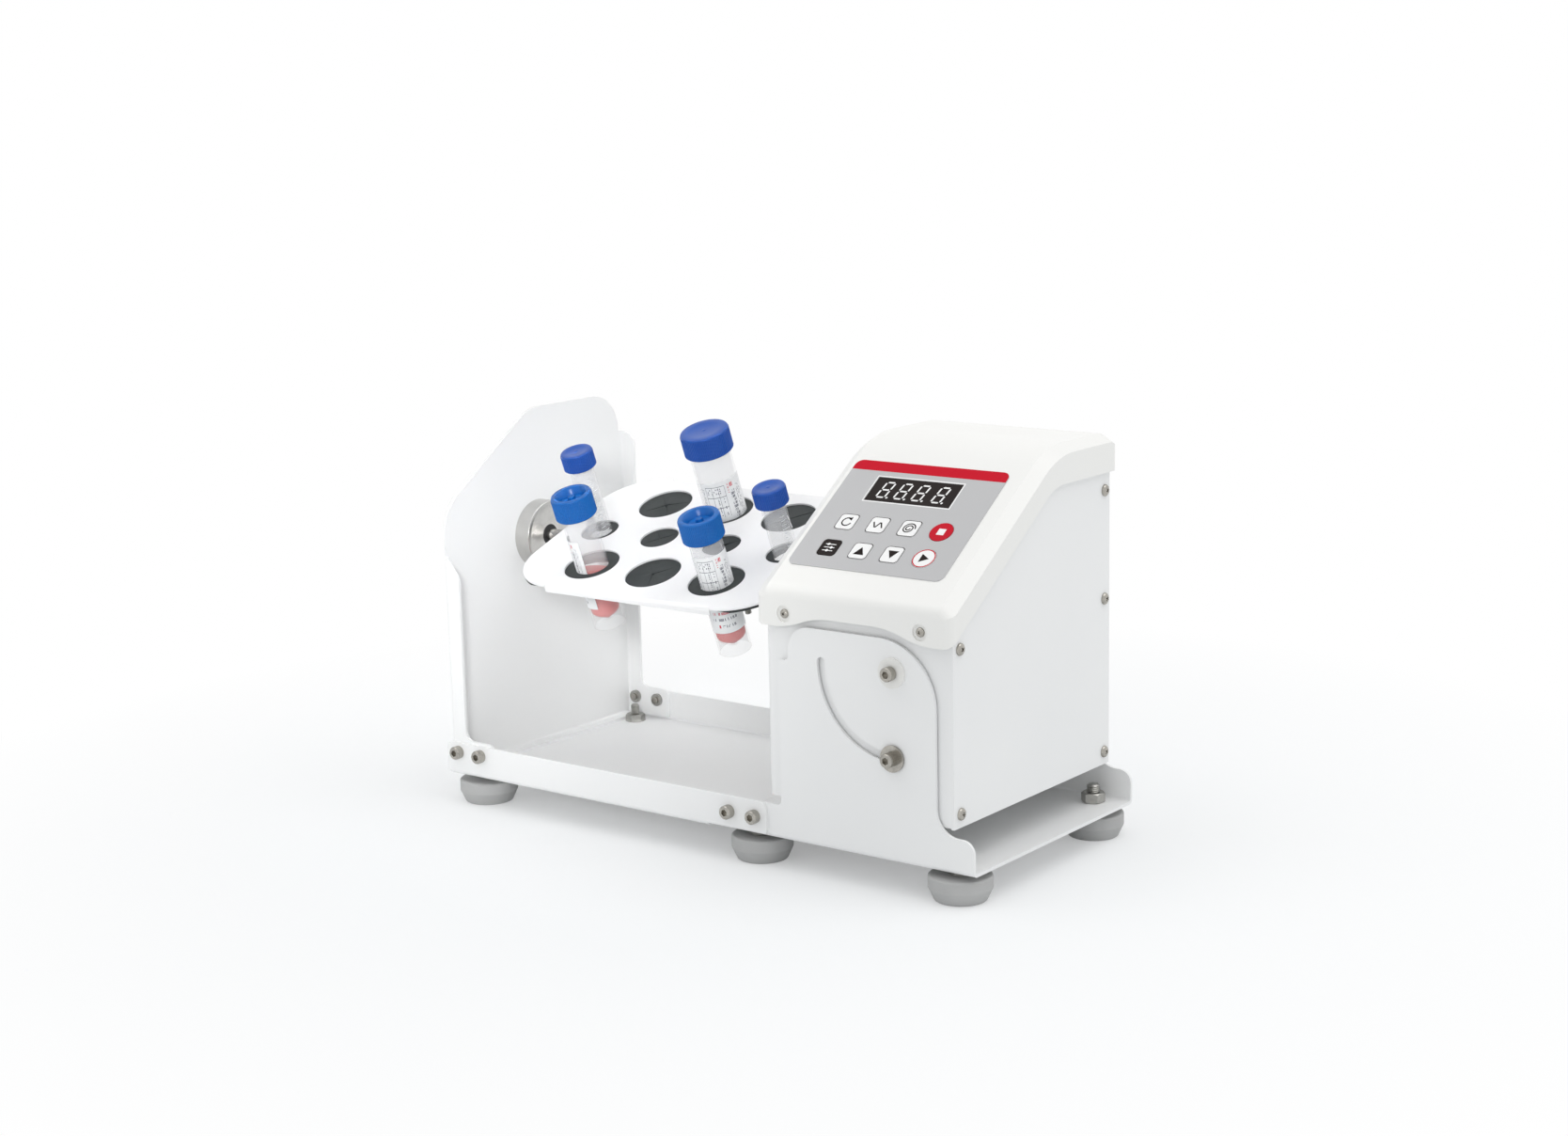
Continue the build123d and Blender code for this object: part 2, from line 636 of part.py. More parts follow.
def head_chassis():
    """Folded box, open to the right and top, with lips for the side panel."""
    under_cover = COVER_HALF - HEAD_HALF
    floor_z = HEAD_BOTTOM
    inner_half = HEAD_HALF - SHEET
    plan = head_plan(HEAD_LEFT, HEAD_RIGHT, HEAD_HALF, HEAD_CORNER)
    void = head_plan(HEAD_LEFT + SHEET, HEAD_RIGHT - SHEET, inner_half, HEAD_CORNER - SHEET)
    shell = along_z(plan, floor_z, HEAD_TOP) - along_z(void, floor_z + SHEET, HEAD_TOP + 1)
    shell -= block(
        HEAD_RIGHT - SHEET - 1,
        HEAD_RIGHT + 1,
        -inner_half + LIP,
        inner_half - LIP,
        floor_z + SHEET + LIP,
        HEAD_TOP + 1,
    )
    shell &= along_x(head_side(under_cover, floor_z - 1, SIDE_BEVEL[0]), HEAD_LEFT - 1, HEAD_RIGHT + 1)
    shell -= rod_x(OUTPUT_BORE, HEAD_LEFT - 1, HEAD_LEFT + SHEET + 1, 0, AXIS_Z)
    for y, z in motor_bolts():
        shell -= rod_x(MOTOR_SCREW, HEAD_LEFT - 1, HEAD_LEFT + SHEET + 1, y, z)
    for y, z in PANEL_SCREWS:
        shell -= rod_x(PANEL_SCREW, HEAD_RIGHT - SHEET - 1, HEAD_RIGHT + 1, y, z)
    for z in (PIVOT_Z, PIVOT_Z - ARC_RADIUS):
        shell -= rod_y(CLAMP_SHANK, -HEAD_HALF - 1, HEAD_HALF + 1, PIVOT_X, z)
    for x in COVER_SCREW_X:
        shell -= rod_y(COVER_SCREW, -HEAD_HALF - 1, -HEAD_HALF + SHEET + 1, x, COVER_SCREW_Z)
        shell -= rod_y(COVER_SCREW, HEAD_HALF - SHEET - 1, HEAD_HALF + 1, x, REAR_SCREW_Z)
    wall_y = (HEAD_HALF - SHEET - 1, HEAD_HALF + 1)
    inlet = Pos(INLET_X, INLET_Z) * Rectangle(*INLET_CUT)
    switch = Pos(SWITCH_X, SWITCH_Z) * Rectangle(*SWITCH_CUT)
    shell -= along_y(inlet, *wall_y)
    shell -= along_y(switch, *wall_y)
    return shell


def side_panel():
    """Flat right-hand panel under the cover's skirt."""
    inset = COVER_HALF - HEAD_HALF
    panel = along_x(head_side(inset, HEAD_BOTTOM - 0.8, SIDE_BEVEL[0]), HEAD_RIGHT, HEAD_RIGHT + SHEET)
    for y, z in PANEL_SCREWS:
        panel -= rod_x(PANEL_SCREW, HEAD_RIGHT - 1, HEAD_RIGHT + SHEET + 1, y, z)
    return panel


def panel_screws():
    screw = pan_screw(PANEL_SCREW, 2 * SHEET + 2.0, 3.7)
    return [facing_right(screw, HEAD_RIGHT + SHEET, y, z) for y, z in PANEL_SCREWS]


# ---------------------------------------------------------------- top cover and control panel
OVERLAY_LEFT, OVERLAY_RIGHT = 65.9, 175.7
OVERLAY_LOW, OVERLAY_HIGH = 8.0, 99.3
OVERLAY_SINK, OVERLAY_PROUD = 0.7, 0.5
OVERLAY_CORNER = 5.0
OVERLAY_MID = ((OVERLAY_LEFT + OVERLAY_RIGHT) / 2, (OVERLAY_LOW + OVERLAY_HIGH) / 2)
OVERLAY_SIZE = (OVERLAY_RIGHT - OVERLAY_LEFT, OVERLAY_HIGH - OVERLAY_LOW)
DISPLAY_MID = (119.2, 75.9)
DISPLAY_SIZE = (61.0, 20.6)
DISPLAY_SUNK = 0.3      # display's face below the overlay's
KEY_X = (88.0, 110.4, 132.8, 155.2)
KEY_ROWS = (24.1, 46.2)
KEY_SIZE = 13.0
KEY_CORNER = 2.6
ROUND_KEY = 7.4
KEY_EASE = 0.3
KEY_PROUD = 0.2         # key caps above the overlay
STEM = 3.0
STEM_END = -3.3         # stems' inner ends, just off the switches
BOARD_DEPTH = 9.0       # circuit board's top face below the panel plane
SIDE_BEVEL = (5.0, 8.0)     # drop and width of the cover's bevelled side edges
RIM_CORNER = 6.0
COVER_FOOT = BASE_Z + 125.0
SKIRT_FRONT = BASE_Z + 131.5
SKIRT_REAR = BASE_Z + 208.5
WAVE_CREST = BASE_Z + 139.3
WAVE_ENDS, WAVE_FOOT, WAVE_TOP = 60.0, 47.0, 25.0       # half widths of the arch over the ear
WAVE_ROUND = 60.0
COVER_BOSS = 2.7
DIMPLE = 1.2            # depth of the cover screws' seats
DIMPLE_RADIUS = 5.0
BOARD_POST = 3.5
BOARD_LEFT, BOARD_RIGHT = 68.0, 175.0
BOARD_LOW, BOARD_HIGH = 12.0, 96.0
BOARD_THICK = 1.6
BOARD_EDGE = 5.0        # posts from the board's edges
BUTTON_TOP = -4.0
BUTTON_SIDE, BUTTON_RADIUS = 6.0, 1.75


def cover_block(inset, bottom):
    """Solid in the cover's outer form, shrunk all round by inset, its long upper edges bevelled."""
    left, right = COVER_LEFT + inset, COVER_RIGHT - inset
    drop, run = SIDE_BEVEL
    form = along_x(head_side(inset, bottom), left + run, right - run)
    for edge_x, full_x in ((left, left + run), (right, right - run)):
        edge = Plane((edge_x, 0, 0), x_dir=(0, 1, 0), z_dir=(1, 0, 0)) * head_side(inset, bottom, drop)
        full = Plane((full_x, 0, 0), x_dir=(0, 1, 0), z_dir=(1, 0, 0)) * head_side(inset, bottom)
        form += loft([edge, full], ruled=True)
    half = COVER_HALF - inset
    corner = RIM_CORNER - inset
    plan = profile((left, -half, corner), (right, -half, corner), (right, half, corner), (left, half, corner))
    return form & along_z(plan, bottom, HEAD_TOP + 1)


def skirt_cut():
    """Everything under the cover's lower edge: level in front, parallel to the slope, level behind."""
    far = DEPTH
    front = -COVER_HALF
    return profile(
        (-far, 0, 0),
        (-far, SKIRT_FRONT, 0),
        (front, SKIRT_FRONT, 0),
        (front + (SKIRT_REAR - SKIRT_FRONT) / TAN_SLOPE, SKIRT_REAR, 35.0),
        (far, SKIRT_REAR, 0),
        (far, 0, 0),
    )


def front_wave():
    """Raised arch in the front skirt's lower edge, over the ear."""
    below = SKIRT_FRONT - 5
    return profile(
        (COVER_MID - WAVE_ENDS, below, 0),
        (COVER_MID - WAVE_ENDS, SKIRT_FRONT, 0),
        (COVER_MID - WAVE_FOOT, SKIRT_FRONT, WAVE_ROUND),
        (COVER_MID - WAVE_TOP, WAVE_CREST, WAVE_ROUND),
        (COVER_MID + WAVE_TOP, WAVE_CREST, WAVE_ROUND),
        (COVER_MID + WAVE_FOOT, SKIRT_FRONT, WAVE_ROUND),
        (COVER_MID + WAVE_ENDS, SKIRT_FRONT, 0),
        (COVER_MID + WAVE_ENDS, below, 0),
    )


def key_places():
    """Panel x, panel y and roundness of the eight keys, in reading order from the top left."""
    top_row = [(x, KEY_ROWS[1], x == KEY_X[-1]) for x in KEY_X]
    low_row = [(x, KEY_ROWS[0], x == KEY_X[-1]) for x in KEY_X]
    return top_row + low_row


def board_corners():
    rights = (BOARD_LEFT + BOARD_EDGE, BOARD_RIGHT - BOARD_EDGE)
    return [(x, up) for x in rights for up in (BOARD_LOW + BOARD_EDGE, BOARD_HIGH - BOARD_EDGE)]


def key_face(is_round, ease):
    if is_round:
        return Circle(ROUND_KEY + ease)
    side = KEY_SIZE + 2 * ease
    return RectangleRounded(side, side, KEY_CORNER + ease)


def cover_screw_seats(shell):
    """Add a boss, a dimple and a hole to the shell at each of the cover's four screws."""
    for x in COVER_SCREW_X:
        for side, z in ((-1, COVER_SCREW_Z), (1, REAR_SCREW_Z)):
            boss = rod_y(COVER_BOSS, HEAD_HALF, COVER_HALF - 1, x, z)
            hole = rod_y(COVER_SCREW, HEAD_HALF - 1, COVER_HALF + 1, x, z)
            dimple = rod_y(DIMPLE_RADIUS, COVER_HALF - DIMPLE, COVER_HALF + 1, x, z)
            if side < 0:
                boss, hole, dimple = [mirror(part, about=Plane.XZ) for part in (boss, hole, dimple)]
            shell = shell + boss - hole - dimple
    return shell


def top_cover():
    """Moulded shell with a sloped panel seat, key and display openings, screw dimples and board posts."""
    shell = cover_block(0, COVER_FOOT) - cover_block(COVER_WALL, COVER_FOOT - 1)
    shell -= along_x(skirt_cut(), COVER_LEFT - 1, COVER_RIGHT + 1)
    shell -= along_y(front_wave(), -COVER_HALF - 1, -COVER_HALF + COVER_WALL + 1)
    seat = Pos(*OVERLAY_MID) * RectangleRounded(*OVERLAY_SIZE, OVERLAY_CORNER)
    shell -= panel_prism(seat, -OVERLAY_SINK, 1.0)
    window = Pos(*DISPLAY_MID) * Rectangle(*DISPLAY_SIZE)
    shell -= panel_prism(window, -COVER_WALL - 1, 1.0)
    for x, up, _ in key_places():
        shell -= panel_prism(Pos(x, up) * Circle(STEM + GAP), -COVER_WALL - 1, 1.0)
    for x, up in board_corners():
        shell += panel_prism(Pos(x, up) * Circle(BOARD_POST), -BOARD_DEPTH, -COVER_WALL + 0.2)
    return cover_screw_seats(shell)


def cover_screws():
    screw = pan_screw(COVER_SCREW, COVER_HALF - DIMPLE - HEAD_HALF + SHEET + 1.5, 2.8)
    screws = []
    for x in COVER_SCREW_X:
        screws.append(facing_front(screw, x, -COVER_HALF + DIMPLE, COVER_SCREW_Z))
        screws.append(mirror(facing_front(screw, x, -COVER_HALF + DIMPLE, REAR_SCREW_Z), about=Plane.XZ))
    return screws


def control_overlay():
    """Front panel sheet with an opening for each key and for the display."""
    sheet = Pos(*OVERLAY_MID) * RectangleRounded(*OVERLAY_SIZE, OVERLAY_CORNER)
    sheet -= Pos(*DISPLAY_MID) * Rectangle(*DISPLAY_SIZE)
    for x, up, is_round in key_places():
        sheet -= Pos(x, up) * key_face(is_round, KEY_EASE)
    return panel_prism(sheet, -OVERLAY_SINK, OVERLAY_PROUD)


def key(x, up, is_round):
    """Key cap with the stem that reaches its switch."""
    cap = panel_prism(Pos(x, up) * key_face(is_round, 0), 0.0, OVERLAY_PROUD + KEY_PROUD)
    return cap + panel_prism(Pos(x, up) * Circle(STEM), STEM_END, 0.1)


def circuit_board():
    """Control board with a push switch under each key."""
    middle = ((BOARD_LEFT + BOARD_RIGHT) / 2, (BOARD_LOW + BOARD_HIGH) / 2)
    outline = Pos(*middle) * Rectangle(BOARD_RIGHT - BOARD_LEFT, BOARD_HIGH - BOARD_LOW)
    board = panel_prism(outline, -BOARD_DEPTH - BOARD_THICK, -BOARD_DEPTH)
    for x, up, _ in key_places():
        button = Pos(x, up) * Rectangle(BUTTON_SIDE, BUTTON_SIDE)
        board += panel_prism(button, -BOARD_DEPTH, BUTTON_TOP - 1.5)
        board += panel_prism(Pos(x, up) * Circle(BUTTON_RADIUS), -BOARD_DEPTH, BUTTON_TOP)
    return board


def display_module():
    """Four-digit display block standing on the board, its face in the overlay's window."""
    width, height = DISPLAY_SIZE
    face = Pos(*DISPLAY_MID) * Rectangle(width - GAP, height - GAP)
    return panel_prism(face, -BOARD_DEPTH, OVERLAY_PROUD - DISPLAY_SUNK)


# ---------------------------------------------------------------- drive inside the head
WALL_INNER = HEAD_LEFT + SHEET
STANDOFF = 15.0
STANDOFF_RADIUS = 5.0
MOTOR_X = WALL_INNER + STANDOFF
MOTOR_LENGTH = 70.0
MOTOR_FLANGE = 5.0
MOTOR_PILOT, PILOT_TALL = 19.0, 1.6
MOTOR_NOTCH, NOTCH_LONG = 5.2, 8.0      # room for a nut behind each corner of the flange
PLUG_LONG, PLUG_HALF, PLUG_DROP = 14.0, 9.0, 5.0
SHAFT_RADIUS = 4.0
SHAFT_FLAT = 3.5        # drive flat from the shaft's middle
SHAFT_IN_MOTOR = 26.0
PLATE_RIGHT = ROTOR_X + ROTOR_LENGTH / 2
SHAFT_END = PLATE_RIGHT - BLOCK_INSET - BLOCK_LENGTH + 0.5
HOUSING_OUT = 6.0       # bearing housing outside the head's wall
HOUSING_FLANGE = 19.5


def drive_motor():
    """Square stepping motor: flange, laminated body, pilot, connector and the shaft's bore."""
    back = MOTOR_X + MOTOR_LENGTH
    core_start = MOTOR_X + MOTOR_FLANGE
    square = Pos(0, AXIS_Z) * RectangleRounded(2 * MOTOR_HALF, 2 * MOTOR_HALF, 4.0)
    core = Pos(0, AXIS_Z) * RectangleRounded(2 * MOTOR_HALF - 3, 2 * MOTOR_HALF - 3, 8.0)
    motor = along_x(square, MOTOR_X, core_start)
    motor += along_x(core, core_start, back)
    motor += rod_x(MOTOR_PILOT, MOTOR_X - PILOT_TALL, MOTOR_X, 0, AXIS_Z)
    plug_z = AXIS_Z - MOTOR_HALF
    motor += block(back - 2 - PLUG_LONG, back - 2, -PLUG_HALF, PLUG_HALF, plug_z - PLUG_DROP, plug_z + 3)
    motor -= rod_x(SHAFT_RADIUS + RUN_FIT, MOTOR_X - 2, MOTOR_X + SHAFT_IN_MOTOR + 1, 0, AXIS_Z)
    for y, z in motor_bolts():
        motor -= rod_x(MOTOR_SCREW, MOTOR_X - 1, core_start + 1, y, z)
        motor -= rod_x(MOTOR_NOTCH, core_start, core_start + NOTCH_LONG, y, z)
    return motor


def motor_standoffs():
    posts = []
    for y, z in motor_bolts():
        post = rod_x(STANDOFF_RADIUS, WALL_INNER, MOTOR_X, y, z)
        posts.append(post - rod_x(MOTOR_SCREW, WALL_INNER, MOTOR_X, y, z))
    return posts


def motor_screws():
    """Long screws from outside the head's left wall through the posts into the motor flange."""
    screw = pan_screw(MOTOR_SCREW, SHEET + STANDOFF + MOTOR_FLANGE - 0.5, 4.4)
    return [facing_left(screw, HEAD_LEFT, y, z) for y, z in motor_bolts()]


def output_bearing():
    """Flanged bearing housing in the head's left wall."""
    bore = SHAFT_RADIUS + RUN_FIT
    inner_end = HOUSING_OUT + SHEET + 5.0
    housing = turned(
        (bore, 0, 0),
        (15.0, 0, 1.0),
        (HOUSING_FLANGE, HOUSING_OUT / 2, 0.6),
        (HOUSING_FLANGE, HOUSING_OUT, 0),
        (OUTPUT_BORE, HOUSING_OUT, 0),
        (OUTPUT_BORE, inner_end, 0.5),
        (bore, inner_end, 0),
    )
    return along_axis(housing, HEAD_LEFT - HOUSING_OUT)


def output_shaft():
    """Motor shaft carried out through the bearing to the drive block, with a flat for its screw."""
    shaft = rod_x(SHAFT_RADIUS, SHAFT_END, MOTOR_X + SHAFT_IN_MOTOR, 0, AXIS_Z)
    flat = block(SHAFT_END - 1, PLATE_RIGHT, -5, 5, -5, -SHAFT_FLAT)
    return shaft - Pos(0, 0, AXIS_Z) * Rot(PARK_ANGLE, 0, 0) * flat


SUPPLY_X = (76.0, 172.0)
SUPPLY_HALF, SUPPLY_TALL = 32.0, 30.0
SUPPLY_TAB = 8.0
SUPPLY_SCREW_Y = 22.0


def power_supply():
    """Enclosed supply on the head's floor, with a drilled tab at each end."""
    floor = HEAD_BOTTOM + SHEET
    left, right = SUPPLY_X
    body = block(left, right, -SUPPLY_HALF, SUPPLY_HALF, floor, floor + SUPPLY_TALL)
    body = fillet(body.edges().filter_by(Axis.Z), 2.0)
    body += block(left - SUPPLY_TAB, right + SUPPLY_TAB, -SUPPLY_HALF, SUPPLY_HALF, floor, floor + SHEET)
    for x in (left - SUPPLY_TAB / 2, right + SUPPLY_TAB / 2):
        for y in (-SUPPLY_SCREW_Y, SUPPLY_SCREW_Y):
            body -= rod_z(2.0, floor - 1, floor + SHEET + 1, x, y)
    return body


MOUTH_HALF, MOUTH_TALL, MOUTH_CUT = 12.0, 8.2, 5.0
MOUTH_DEEP = 13.5
BLADE = (2.0, 4.0)
BLADE_PLACES = ((-7.0, -2.0), (0.0, 2.0), (7.0, -2.0))


def inlet_mouth():
    """Six-sided opening of the appliance inlet."""
    corners = (
        (-MOUTH_HALF, -MOUTH_TALL),
        (MOUTH_HALF, -MOUTH_TALL),
        (MOUTH_HALF, MOUTH_TALL - MOUTH_CUT),
        (MOUTH_HALF - MOUTH_CUT, MOUTH_TALL),
        (-MOUTH_HALF + MOUTH_CUT, MOUTH_TALL),
        (-MOUTH_HALF, MOUTH_TALL - MOUTH_CUT),
    )
    return Pos(INLET_X, INLET_Z) * make_face(Polyline(*corners, close=True))


def power_inlet():
    """Appliance inlet: bezel, hollow body and three contact blades."""
    wide, tall = INLET_CUT
    bezel = Pos(INLET_X, INLET_Z) * RectangleRounded(wide + 6, tall + 7, 3.0)
    body = Pos(INLET_X, INLET_Z) * Rectangle(wide, tall)
    inlet = along_y(bezel, HEAD_HALF, HEAD_HALF + 2.6)
    inlet += along_y(body, HEAD_HALF - 18.0, HEAD_HALF)
    inlet -= along_y(inlet_mouth(), HEAD_HALF - MOUTH_DEEP, HEAD_HALF + 4)
    for across, up in BLADE_PLACES:
        blade = Pos(INLET_X + across, INLET_Z + up) * Rectangle(*BLADE)
        inlet += along_y(blade, HEAD_HALF - MOUTH_DEEP - 0.5, HEAD_HALF - 2.5)
    return inlet


SWITCH_THROW = 20.0
SWITCH_WALL = (1.3, 1.1)        # switch frame's walls beside and above the rocker
ROCKER_EASE = (0.9, 0.4)
ROCKER_BACK, ROCKER_FACE, ROCKER_DISH = -2.2, 3.0, 1.8


def switch_frame():
    """Frame of the mains switch, with a shallow well for the rocker."""
    wide, tall = SWITCH_CUT
    bezel = Pos(SWITCH_X, SWITCH_Z) * RectangleRounded(wide + 2, tall + 2, 1.5)
    body = Pos(SWITCH_X, SWITCH_Z) * Rectangle(wide, tall)
    frame = along_y(bezel, HEAD_HALF, HEAD_HALF + 2.0)
    frame += along_y(body, HEAD_HALF - 14.0, HEAD_HALF)
    well = Pos(SWITCH_X, SWITCH_Z) * Rectangle(wide - 2 * SWITCH_WALL[0], tall - 2 * SWITCH_WALL[1])
    return frame - along_y(well, HEAD_HALF - 6.0, HEAD_HALF + 3)


def switch_rocker():
    """Rocker with a dished face, at rest on its first side."""
    half = SWITCH_CUT[0] / 2 - SWITCH_WALL[0] - ROCKER_EASE[0]
    tall = SWITCH_CUT[1] - 2 * (SWITCH_WALL[1] + ROCKER_EASE[1])
    outline = profile(
        (-half, ROCKER_BACK, 0.5),
        (half, ROCKER_BACK, 0.5),
        (half, ROCKER_FACE, 0.6),
        (0, ROCKER_DISH, 12.0),
        (-half, ROCKER_FACE, 0.6),
    )
    rocker = Pos(0, 0, -tall / 2) * extrude(outline, amount=tall)
    return Pos(SWITCH_X, HEAD_HALF, SWITCH_Z) * Rot(0, 0, -SWITCH_THROW / 2) * rocker


# ---------------------------------------------------------------- tube plate
TOP_SHEET = 1.2
RUBBER = 1.8
BACK_SHEET = 0.8
PLATE_FLANGE = 5.0
PLATE_BEND = 2.5
SLIT = 0.7
TOP_UNDER = ROTOR_OFFSET - TOP_SHEET
RUBBER_UNDER = TOP_UNDER - RUBBER
BACK_UNDER = RUBBER_UNDER - BACK_SHEET
STUD_X, STUD_Y = 81.0, 51.5
STUD_RADIUS = 2.0
STUD_LONG, STUD_NUT, STUD_FLATS = 13.0, 3.2, 7.0
BACK_INSET = 4.0        # backing sheet's edge from the top plate's
BACK_EASE = 1.0         # backing sheet's holes around the plate's

# Name, plate column and row, cap radius and height, body radius,
# cap top and tip from the plate's top face, whether it stands on a skirt
TUBES = (
    ("tube_1", -1.5, 0, 10.9, 11.8, 8.1, 59.4, -55.0, False),
    ("tube_2", -1, -1, 13.6, 15.5, 10.7, 52.1, -44.2, True),
    ("tube_3", 0, 1, 16.3, 15.2, 13.6, 59.6, -55.0, False),
    ("tube_4", 1, -1, 13.6, 15.5, 10.7, 46.5, -49.8, True),
    ("tube_5", 1.5, 0, 10.9, 11.8, 8.1, 47.0, -67.4, False),
)


def hole_places():
    """Column and row of every tube hole: two rows of three large ones, a middle row of four small ones."""
    large = [(column, row) for row in (-1, 1) for column in (-1, 0, 1)]
    small = [(column, 0) for column in (-1.5, -0.5, 0.5, 1.5)]
    return large + small


def hole_radius(row):
    return SMALL_HOLE if row == 0 else LARGE_HOLE


def plate_holes(ease=0.0):
    holes = Sketch()
    for column, row in hole_places():
        holes += Pos(column * HOLE_PITCH, row * ROW_OFFSET) * Circle(hole_radius(row) + ease)
    return holes


def stud_holes(radius):
    studs = Sketch()
    for x in (-STUD_X, STUD_X):
        for y in (-STUD_Y, STUD_Y):
            studs += Pos(x, y) * Circle(radius)
    return studs


def plate_outline(inset):
    length = ROTOR_LENGTH - 2 * inset
    width = ROTOR_WIDTH - 2 * inset
    return RectangleRounded(length, width, ROTOR_CORNER - inset)


def rotor_top_plate():
    """Pierced sheet with its two long edges folded down."""
    half = ROTOR_WIDTH / 2
    low = ROTOR_OFFSET - PLATE_FLANGE
    fold_half = ROTOR_LENGTH / 2 - ROTOR_CORNER - 1.0
    flat_half = half - PLATE_BEND - 0.5
    plate = along_z(plate_outline(0) - plate_holes(), TOP_UNDER, ROTOR_OFFSET)
    edge = profile(
        (flat_half, ROTOR_OFFSET, 0),
        (half, ROTOR_OFFSET, PLATE_BEND),
        (half, low, 0.3),
        (half - TOP_SHEET, low, 0.3),
        (half - TOP_SHEET, TOP_UNDER, PLATE_BEND - TOP_SHEET),
        (flat_half, TOP_UNDER, 0),
    )
    for side in (1, -1):
        y0, y1 = sorted((side * flat_half, side * ROTOR_WIDTH))
        plate -= block(-fold_half, fold_half, y0, y1, 0, 2 * ROTOR_OFFSET)
    fold = along_x(edge, -fold_half, fold_half)
    plate += both_sides(fold)
    return ROTOR * plate


def rotor_rubber():
    """Rubber sheet: crossed slits under the free holes, a round grip at each tube."""
    sheet = plate_outline(0.2) & Rectangle(ROTOR_LENGTH, ROTOR_WIDTH - 2 * PLATE_BEND - 0.4)
    sheet -= stud_holes(STUD_RADIUS)
    filled = {(column, row): body for _, column, row, _, _, body, _, _, _ in TUBES}
    for column, row in hole_places():
        centre = Pos(column * HOLE_PITCH, row * ROW_OFFSET)
        reach = 1.7 * hole_radius(row)
        if (column, row) in filled:
            sheet -= centre * Circle(filled[column, row] + 0.3)
        else:
            sheet -= centre * Rot(0, 0, 45) * Rectangle(reach, SLIT)
            sheet -= centre * Rot(0, 0, -45) * Rectangle(reach, SLIT)
    return ROTOR * along_z(sheet, RUBBER_UNDER, TOP_UNDER)


def rotor_back_plate():
    """Pierced backing sheet under the rubber."""
    sheet = plate_outline(BACK_INSET) - plate_holes(BACK_EASE) - stud_holes(STUD_RADIUS)
    return ROTOR * along_z(sheet, BACK_UNDER, RUBBER_UNDER)


def rotor_studs():
    """Studs welded under the top plate, with the nuts that clamp the three layers."""
    parts = []
    for x in (-STUD_X, STUD_X):
        for y in (-STUD_Y, STUD_Y):
            nut = hex_nut(STUD_RADIUS, STUD_FLATS, STUD_NUT)
            parts.append(ROTOR * rod_z(STUD_RADIUS, ROTOR_OFFSET - STUD_LONG, TOP_UNDER, x, y))
            parts.append(ROTOR * Pos(x, y, BACK_UNDER - STUD_NUT) * nut)
    return parts


BLOCK_HALF = 9.0
BLOCK_LOW = -9.0
SET_SCREW = 2.0
CRADLE_MOUTH = 30.0     # half angle of the cradle's open mouth


def drive_block():
    """Block under the plate's right end, bored for the output shaft."""
    end = ROTOR_LENGTH / 2 - BLOCK_INSET
    solid = block(end - BLOCK_LENGTH, end, -BLOCK_HALF, BLOCK_HALF, BLOCK_LOW, BACK_UNDER)
    solid = fillet(solid.edges().filter_by(Axis.X).group_by(Axis.Z)[0], 3.0)
    bore = rod_x(SHAFT_RADIUS, end - BLOCK_LENGTH - 1, end + 1, 0, 0)
    screw_hole = rod_z(SET_SCREW, BLOCK_LOW - 1, 0, end - BLOCK_LENGTH / 2, 0)
    return ROTOR * (solid - bore - screw_hole)


def drive_set_screw():
    """Headless screw that holds the drive block on the shaft's flat."""
    x = ROTOR_LENGTH / 2 - BLOCK_INSET - BLOCK_LENGTH / 2
    screw = rod_z(SET_SCREW, BLOCK_LOW + 0.6, -SHAFT_FLAT, x, 0)
    hexagon = Pos(x, 0) * RegularPolygon(0.55 * SET_SCREW, 6)
    return ROTOR * (screw - along_z(hexagon, BLOCK_LOW + 0.5, BLOCK_LOW + 2.5))


def cradle_block():
    """Saddle under the plate's left end: a half-round seat over a flared mouth, resting on the spindle."""
    end = -ROTOR_LENGTH / 2 + BLOCK_INSET
    seat = SPINDLE_TIP + RUN_FIT
    solid = block(end, end + BLOCK_LENGTH, -BLOCK_HALF, BLOCK_HALF, BLOCK_LOW, BACK_UNDER)
    lean = radians(CRADLE_MOUTH)
    side_y, side_z = seat * cos(lean), seat * sin(lean)
    low = BLOCK_LOW - 1
    spread = side_y + (side_z - low) * tan(lean)
    corners = ((-side_y, side_z), (side_y, side_z), (spread, low), (-spread, low))
    mouth = make_face(Polyline(*corners, close=True))
    opening = mouth + Circle(seat)
    return ROTOR * (solid - along_x(opening, end - 1, end + BLOCK_LENGTH + 1))


# ---------------------------------------------------------------- tubes and caps
WALL = 1.2
CAP_WALL = 1.6
CAP_TOP = 1.7           # thickness of a cap's top
RIM_GAP = 0.3           # between a tube's rim and its cap
NECK_SHOWS = 2.0        # threaded neck below the cap's edge
POINT = 2.5             # radius of a tube's blunt point
LONG_CONE, SHORT_CONE = 1.9, 0.55       # cone height over body radius
SKIRT_DROP = 3.5        # skirt's foot below the cone's point
RECESS_DEEP = 5.0       # hollow in the top of a skirted tube's cap
PLUG_EASE = 0.3
PLUG_WALL = 1.2
NUB_RADIUS, NUB_SUNK = 2.2, 0.8


def tube_frame(column, row):
    """Place of a tube hole: origin in the plate's top face, Z square to the plate."""
    return ROTOR * Pos(column * HOLE_PITCH, row * ROW_OFFSET, ROTOR_OFFSET)


